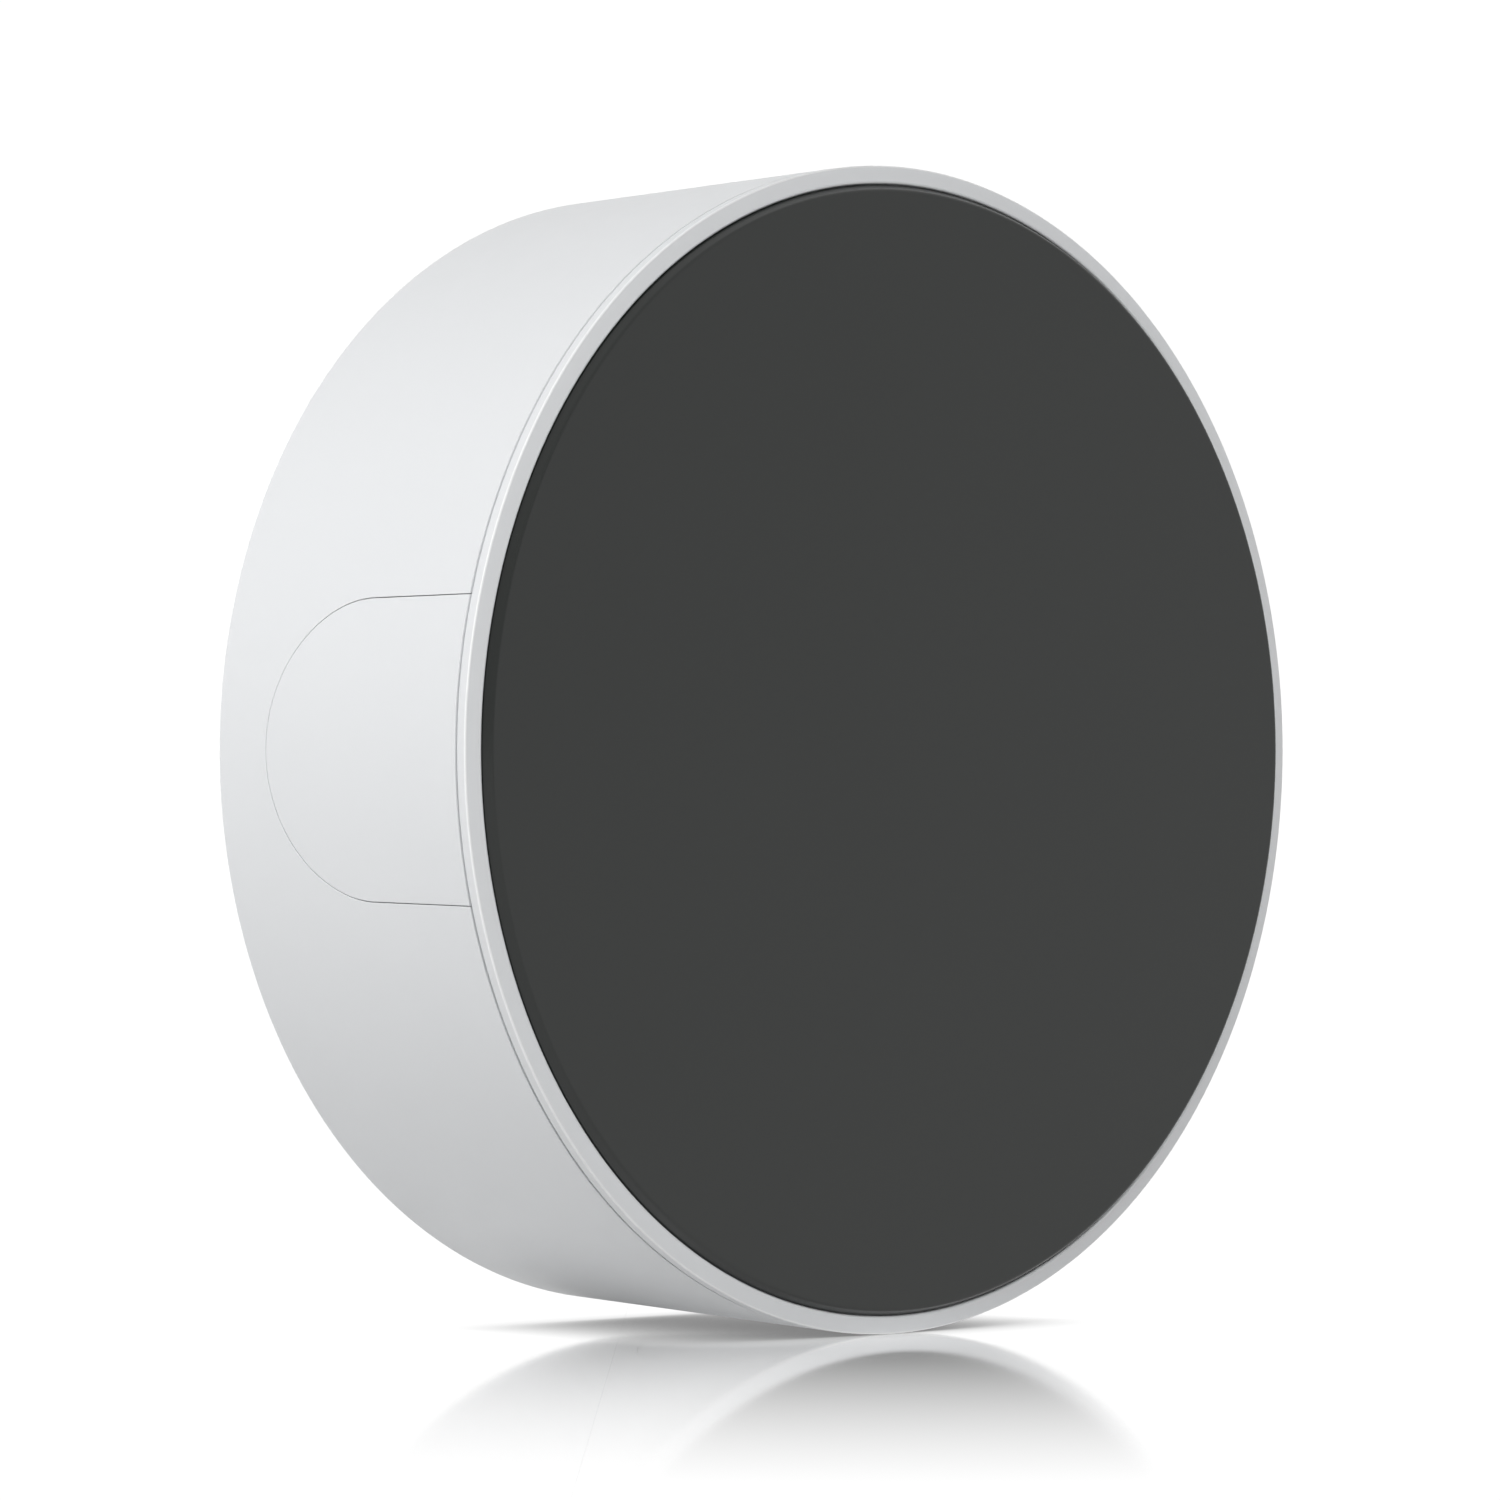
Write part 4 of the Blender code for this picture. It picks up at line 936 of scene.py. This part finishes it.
def on_circle(radius, angle):
    return radius * math.cos(angle), radius * math.sin(angle)


def circle(radius):
    """Outline function of a circle."""

    def outline(grow):
        angles = [math.tau * step / SMALL_SEGMENTS for step in range(SMALL_SEGMENTS)]
        return [on_circle(radius + grow, angle) for angle in angles]

    return outline


def opening(name, outline, floor, surface, edge, matrix):
    """Cutter from a floor up through a surface, flared there to ease the edge."""
    levels = [(0.0, floor)]
    levels += [(back, surface - drop) for back, drop in quarter_round(edge)]
    levels.append((edge, surface + MM))
    return prism(name, outline, levels, matrix)


def add_rear_cover():
    """White disc with rays of round-ended cooling slots, screw seats and the button's hole."""
    front, back = depths("rear_cover")
    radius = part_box("rear_cover")[1].x
    corners = [(0.0, front, 0.0), (radius, front, 0.1 * MM), (radius, back, 0.25 * MM), (0.0, back, 0.0)]
    mesh = lathe("back_plate", corners, exact_normals=False)
    below, edge = front - MM, 0.25 * MM
    cutters = []
    middle = (VENT_SPAN[0] + VENT_SPAN[1]) / 2
    half = (VENT_SPAN[1] - VENT_SPAN[0]) / 2
    for quarter in range(4):
        for number in range(VENTS_PER_GROUP):
            place = number - VENTS_PER_GROUP // 2
            if quarter == 1 and abs(place) <= 1:
                continue
            angle = quarter * math.pi / 2 + place * VENT_PITCH
            slot = rectangle(half, VENT_WIDTH / 2, VENT_WIDTH / 2 - END_FLAT, (middle, 0.0))
            cutters.append(opening("slot", slot, below, back, edge, rearward(turn=angle)))
    for angle in DIAGONALS:
        seat = rearward(*on_circle(TOWER_CIRCLE, angle))
        hole, floor, rim = SCREW_HOLE_RADIUS - SCREW_SEAT_RADIUS, back - SCREW_SEAT_DEPTH, 0.15 * MM
        levels = [(hole, below), (hole, floor), (0.0, floor)]
        levels += [(out, back - drop) for out, drop in quarter_round(rim)]
        levels.append((rim, back + MM))
        cutters.append(prism("seat", circle(SCREW_SEAT_RADIUS), levels, seat))
    button = circle(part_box("pair_button")[1].x - MM + FIT)
    cutters.append(opening("button", button, below, back, edge, rearward(z=BUTTON_Z)))
    mesh = boolean(mesh, "DIFFERENCE", join("openings", cutters))
    smooth(mesh, level_faces)
    add_piece("back_plate", mesh, "white_casing", stands_for=["rear_cover"])


def add_rear_pad():
    """Rubber pad with a rounded rim and a shallow groove inside it."""
    front, back = depths("rear_pad")
    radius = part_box("rear_pad")[1].x
    outer = radius - 2.6 * MM
    inner, floor = outer - 0.9 * MM, back - 0.25 * MM
    lean, fillet = 0.2 * MM, 0.15 * MM
    corners = [
        (0.0, back, 0.0),
        (inner, back, fillet),
        (inner + lean, floor, fillet),
        (outer - lean, floor, fillet),
        (outer, back, fillet),
        (radius, back, 0.4 * MM),
        (radius, front, 0.0),
        (0.0, front, 0.0),
    ]
    add_piece("rubber_pad", lathe("rubber_pad", corners), "grey_rubber", stands_for=["rear_pad"])


def make_screw(x, z, seat, reach):
    """Screw with a pan head, a tapered cross recess, a plain shank and a pointed end."""
    top = seat + SCREW_HEAD_HEIGHT
    corners = [
        (0.0, top, 0.0),
        (SCREW_HEAD_RADIUS, top, 0.45 * MM),
        (SCREW_HEAD_RADIUS, seat, 0.05 * MM),
        (SCREW_SHANK_RADIUS, seat, 0.0),
        (SCREW_SHANK_RADIUS, seat - reach, 0.0),
        (0.0, seat - reach - SCREW_POINT, 0.0),
    ]
    mesh = lathe("screw", corners, x, z, SMALL_SEGMENTS, exact_normals=False)
    blade = rectangle(1.25 * MM, 0.24 * MM, 0.05 * MM)
    levels = [(-0.12 * MM, top - 0.7 * MM), (0.0, top), (0.02 * MM, top + 0.2 * MM)]
    turns = (SCREW_TURN, SCREW_TURN + math.pi / 2)
    blades = [prism("blade", blade, levels, rearward(x, z, turn)) for turn in turns]
    cross = boolean(blades[0], "UNION", blades[1])
    return smooth(boolean(mesh, "DIFFERENCE", cross), level_faces)


def add_screws():
    for kind, circle_radius in (("rear_screw", TOWER_CIRCLE), ("board_screw", BOARD_SCREW_CIRCLE)):
        for number, angle in enumerate(DIAGONALS, 1):
            node = f"{kind}_{number}"
            point, end = depths(node)
            seat = end - SCREW_HEAD_HEIGHT
            mesh = make_screw(*on_circle(circle_radius, angle), seat, seat - point - SCREW_POINT)
            add_piece(f"{kind}_head_{number}", mesh, "steel", stands_for=[node])


def add_pair_button():
    """Button with a dished face, on the stem that presses the switch."""
    stem_end, face = depths("pair_button")
    radius, flange, stem = BUTTON_RADIUS, BUTTON_RADIUS + MM, 1.4 * MM
    flange_back, flange_front = 29.9 * MM, 28.9 * MM
    corners = [
        (0.0, face - 0.18 * MM, 0.0),
        (radius - 0.9 * MM, face - 0.12 * MM, 1.5 * MM),
        (radius - 0.3 * MM, face, 0.2 * MM),
        (radius, face - 0.05 * MM, 0.15 * MM),
        (radius, flange_back, 0.0),
        (flange, flange_back, 0.1 * MM),
        (flange, flange_front, 0.1 * MM),
        (stem, flange_front, 0.0),
        (stem, stem_end, 0.1 * MM),
        (0.0, stem_end, 0.0),
    ]
    mesh = lathe("pairing_key", corners, 0.0, BUTTON_Z, 96)
    add_piece("pairing_key", mesh, "white_casing", "pair_button", ["pair_button"])


# ---------------------------------------------------------------- CAD nodes that stay as they are

KEPT_NODES = {
    "black_plastic": ["front_frame", "switch_plunger"],
    "black_foam": ["window_gasket"],
    "steel": ["shield_can"],
    "aluminium": ["heat_sink", "power_capacitor_1", "power_capacitor_2"],
    "circuit_board": ["main_board", "front_board"],
    "chip_epoxy": [
        "processor",
        "memory_chip_1",
        "memory_chip_2",
        "flash_chip",
        "wireless_chip",
        "ethernet_transformer",
        "power_inductor",
        "infrared_receiver",
        "pair_switch",
    ],
    "thermal_silicone": ["thermal_pad"],
    "clear_plastic": ["light_guide", "status_light"],
    "ribbon_film": ["front_ribbon", "left_antenna", "right_antenna"],
    "cable_jacket": ["left_antenna_lead", "right_antenna_lead"],
}


def finish_kept_nodes():
    for finish, nodes in KEPT_NODES.items():
        for node in nodes:
            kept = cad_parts[node]
            kept.data.materials.clear()
            kept.data.materials.append(MATERIALS[finish])


# ---------------------------------------------------------------- stage

CAMERA_AZIMUTH = math.radians(-44.719)
CAMERA_DISTANCE = 762.27 * MM
CAMERA_SLIDE = -12.139 * MM
CAMERA_LENS = 213.6
CAMERA_SENSOR = 36.0
CAMERA_CLIP = (0.01, 100.0)
FLOOR_Z = CAD_BOX[0].z
FLOOR_SIZE = 40.0


def add_camera():
    back = Vector((math.sin(CAMERA_AZIMUTH), -math.cos(CAMERA_AZIMUTH), 0.0))
    right = Vector((math.cos(CAMERA_AZIMUTH), math.sin(CAMERA_AZIMUTH), 0.0))
    data = bpy.data.cameras.new("camera")
    data.lens = CAMERA_LENS
    data.sensor_width = CAMERA_SENSOR
    data.clip_start, data.clip_end = CAMERA_CLIP
    camera = bpy.data.objects.new("camera", data)
    camera.location = Vector((0.0, FRONT_Y, 0.0)) + back * CAMERA_DISTANCE + right * CAMERA_SLIDE
    camera.rotation_mode = "QUATERNION"
    camera.rotation_quaternion = (-back).to_track_quat("-Z", "Y")
    bpy.context.scene.collection.objects.link(camera)
    bpy.context.scene.camera = camera


LIGHT_DISTANCE = 1.8
LIGHT_SIZE = 1.2


def add_light(name, azimuth, elevation, power):
    """Square soft light at an azimuth and elevation, unseen itself and in reflections."""
    turn, rise = math.radians(azimuth), math.radians(elevation)
    flat_back = Vector((math.sin(turn), -math.cos(turn), 0.0))
    back = flat_back * math.cos(rise) + Vector((0.0, 0.0, math.sin(rise)))
    data = bpy.data.lights.new(name, "AREA")
    data.size = LIGHT_SIZE
    data.energy = power
    light = bpy.data.objects.new(name, data)
    light.location = back * LIGHT_DISTANCE
    light.rotation_mode = "QUATERNION"
    light.rotation_quaternion = back.to_track_quat("Z", "Y")
    light.visible_camera = False
    light.visible_glossy = False
    bpy.context.scene.collection.objects.link(light)


def add_lights():
    """Key from behind the left shoulder, a front light, and weak ones for the far side."""
    add_light("key", -120, 26, 21.5)
    add_light("front_left", -30, 30, 20.0)
    add_light("right", 100, 6, 16.0)
    add_light("back", 155, 14, 9.0)


WORLD_SEEN = 1.05
WORLD_GLOSS = 0.95
DIM_SIDE = (-0.707, -0.707, 0.0)
DIM_GLOSS = 0.75
DIM_REACH = (0.2, 0.95)


def add_world():
    """White surroundings that are seen and reflected, and dimmer on one side in reflections."""
    world = bpy.data.worlds.new("surroundings")
    bpy.context.scene.world = world
    world.use_nodes = True
    tree = world.node_tree
    nodes, link = tree.nodes, tree.links.new
    path = nodes.new("ShaderNodeLightPath").outputs
    facing = nodes.new("ShaderNodeVectorMath")
    facing.operation = "DOT_PRODUCT"
    facing.inputs[1].default_value = DIM_SIDE
    link(nodes.new("ShaderNodeTexCoord").outputs["Generated"], facing.inputs[0])
    gloss = nodes.new("ShaderNodeMapRange")
    gloss.interpolation_type = "SMOOTHSTEP"
    gloss.inputs["From Min"].default_value, gloss.inputs["From Max"].default_value = DIM_REACH
    gloss.inputs["To Min"].default_value = WORLD_GLOSS
    gloss.inputs["To Max"].default_value = DIM_GLOSS
    link(facing.outputs["Value"], gloss.inputs["Value"])
    strength = nodes.new("ShaderNodeMath")
    strength.operation = "MULTIPLY"
    link(path["Is Glossy Ray"], strength.inputs[0])
    link(gloss.outputs["Result"], strength.inputs[1])
    shown = nodes.new("ShaderNodeMath")
    shown.operation = "MULTIPLY_ADD"
    link(path["Is Camera Ray"], shown.inputs[0])
    shown.inputs[1].default_value = WORLD_SEEN
    link(strength.outputs[0], shown.inputs[2])
    background = nodes["Background"]
    background.inputs["Color"].default_value = (1.0, 1.0, 1.0, 1.0)
    link(shown.outputs[0], background.inputs["Strength"])


FLOOR_BOUNCE = 0.58
FLOOR_FILL = 0.09
FOOT_FILL = 0.3
FOOT_DEPTH = 6 * MM
FOOT_REACH = 22 * MM
FLOOR_GLOW = 1.06
FLOOR_MIRROR = 1.1
FLOOR_POLISH = 0.06
FLOOR_GRAZING = 3.0
SHADOW_DEPTH = 0.2
SHADOW_REACH = 7 * MM
REFLECTION_REACH = 175 * MM
REFLECTION_GAIN = 1.2
REFLECTION_FALL = 1.3


def grey(level):
    """Opaque grey of one level."""
    return (level, level, level, 1.0)


def make_floor_finish():
    """White, with a contact shadow and a fading reflection, and clear from below."""
    finish = Finish("floor", grey(FLOOR_BOUNCE)[:3], 0.5)
    openness = finish.node("AmbientOcclusion", {"Distance": SHADOW_REACH}).outputs["AO"]
    level = finish.spread(openness, SHADOW_DEPTH * FLOOR_GLOW, FLOOR_GLOW, 0.0, 1.0)
    glow = finish.node("Emission", {"Strength": level}).outputs[0]
    polish = {"Color": grey(FLOOR_MIRROR), "Roughness": FLOOR_POLISH}
    mirror = finish.node("BsdfGlossy", polish).outputs[0]
    contact = {0: finish.place, 1: (0.0, FRONT_Y, FLOOR_Z)}
    away = finish.node("VectorMath", contact, operation="DISTANCE").outputs["Value"]
    left = finish.spread(away, 1.0, 0.0, 0.0, REFLECTION_REACH)
    fade = finish.calculate("POWER", left, REFLECTION_FALL)
    fade = finish.calculate("MINIMUM", finish.calculate("MULTIPLY", fade, REFLECTION_GAIN), 1.0)
    facing = finish.node("LayerWeight").outputs["Facing"]
    share = finish.calculate("MULTIPLY", finish.calculate("POWER", facing, FLOOR_GRAZING), fade)
    share = finish.calculate("MULTIPLY", share, openness)
    seen = finish.node("MixShader", {0: share, 1: glow, 2: mirror}).outputs[0]
    plain = finish.node("BsdfDiffuse", {"Color": grey(FLOOR_BOUNCE)}).outputs[0]
    under = {0: finish.place, 1: (0.0, FRONT_Y + FOOT_DEPTH, FLOOR_Z)}
    beside = finish.node("VectorMath", under, operation="DISTANCE").outputs["Value"]
    strength = finish.spread(beside, FLOOR_FILL + FOOT_FILL, FLOOR_FILL, 0.0, FOOT_REACH)
    fill = finish.node("Emission", {"Strength": strength}).outputs[0]
    lit = finish.node("AddShader", {0: plain, 1: fill}).outputs[0]
    path = finish.node("LightPath").outputs
    unseen = finish.node("MixShader", {0: path["Is Glossy Ray"], 1: lit, 2: glow}).outputs[0]
    above = finish.node("MixShader", {0: path["Is Camera Ray"], 1: unseen, 2: seen}).outputs[0]
    clear = finish.node("BsdfTransparent").outputs[0]
    underside = finish.node("NewGeometry").outputs["Backfacing"]
    whole = finish.node("MixShader", {0: underside, 1: above, 2: clear}).outputs[0]
    finish.tree.links.new(whole, finish.tree.nodes["Material Output"].inputs["Surface"])
    return finish.material


def add_floor():
    half = FLOOR_SIZE / 2
    corners = [(-half, -half), (half, -half), (half, half), (-half, half)]
    mesh = bpy.data.meshes.new("floor")
    mesh.from_pydata([(x, y, FLOOR_Z) for x, y in corners], [], [(0, 1, 2, 3)])
    mesh.materials.append(make_floor_finish())
    floor = bpy.data.objects.new("floor", mesh)
    bpy.context.scene.collection.objects.link(floor)


# ---------------------------------------------------------------- assembly

add_bezel_ring()
add_front_window()
add_body_shell()
for port_side in PORT_TURNS:
    add_port_cover(port_side)
add_port_bay("left", [fitted(hdmi_outline)])
add_port_bay("bottom", [ETHERNET_MOUTH, ETHERNET_LATCH, fitted(usb_c_outline)])
add_hdmi_socket()
add_usb_c_socket()
add_ethernet_socket()
add_rear_cover()
add_rear_pad()
add_screws()
add_pair_button()
finish_kept_nodes()

add_camera()
add_lights()
add_world()
add_floor()
bpy.context.scene.view_settings.view_transform = "Standard"
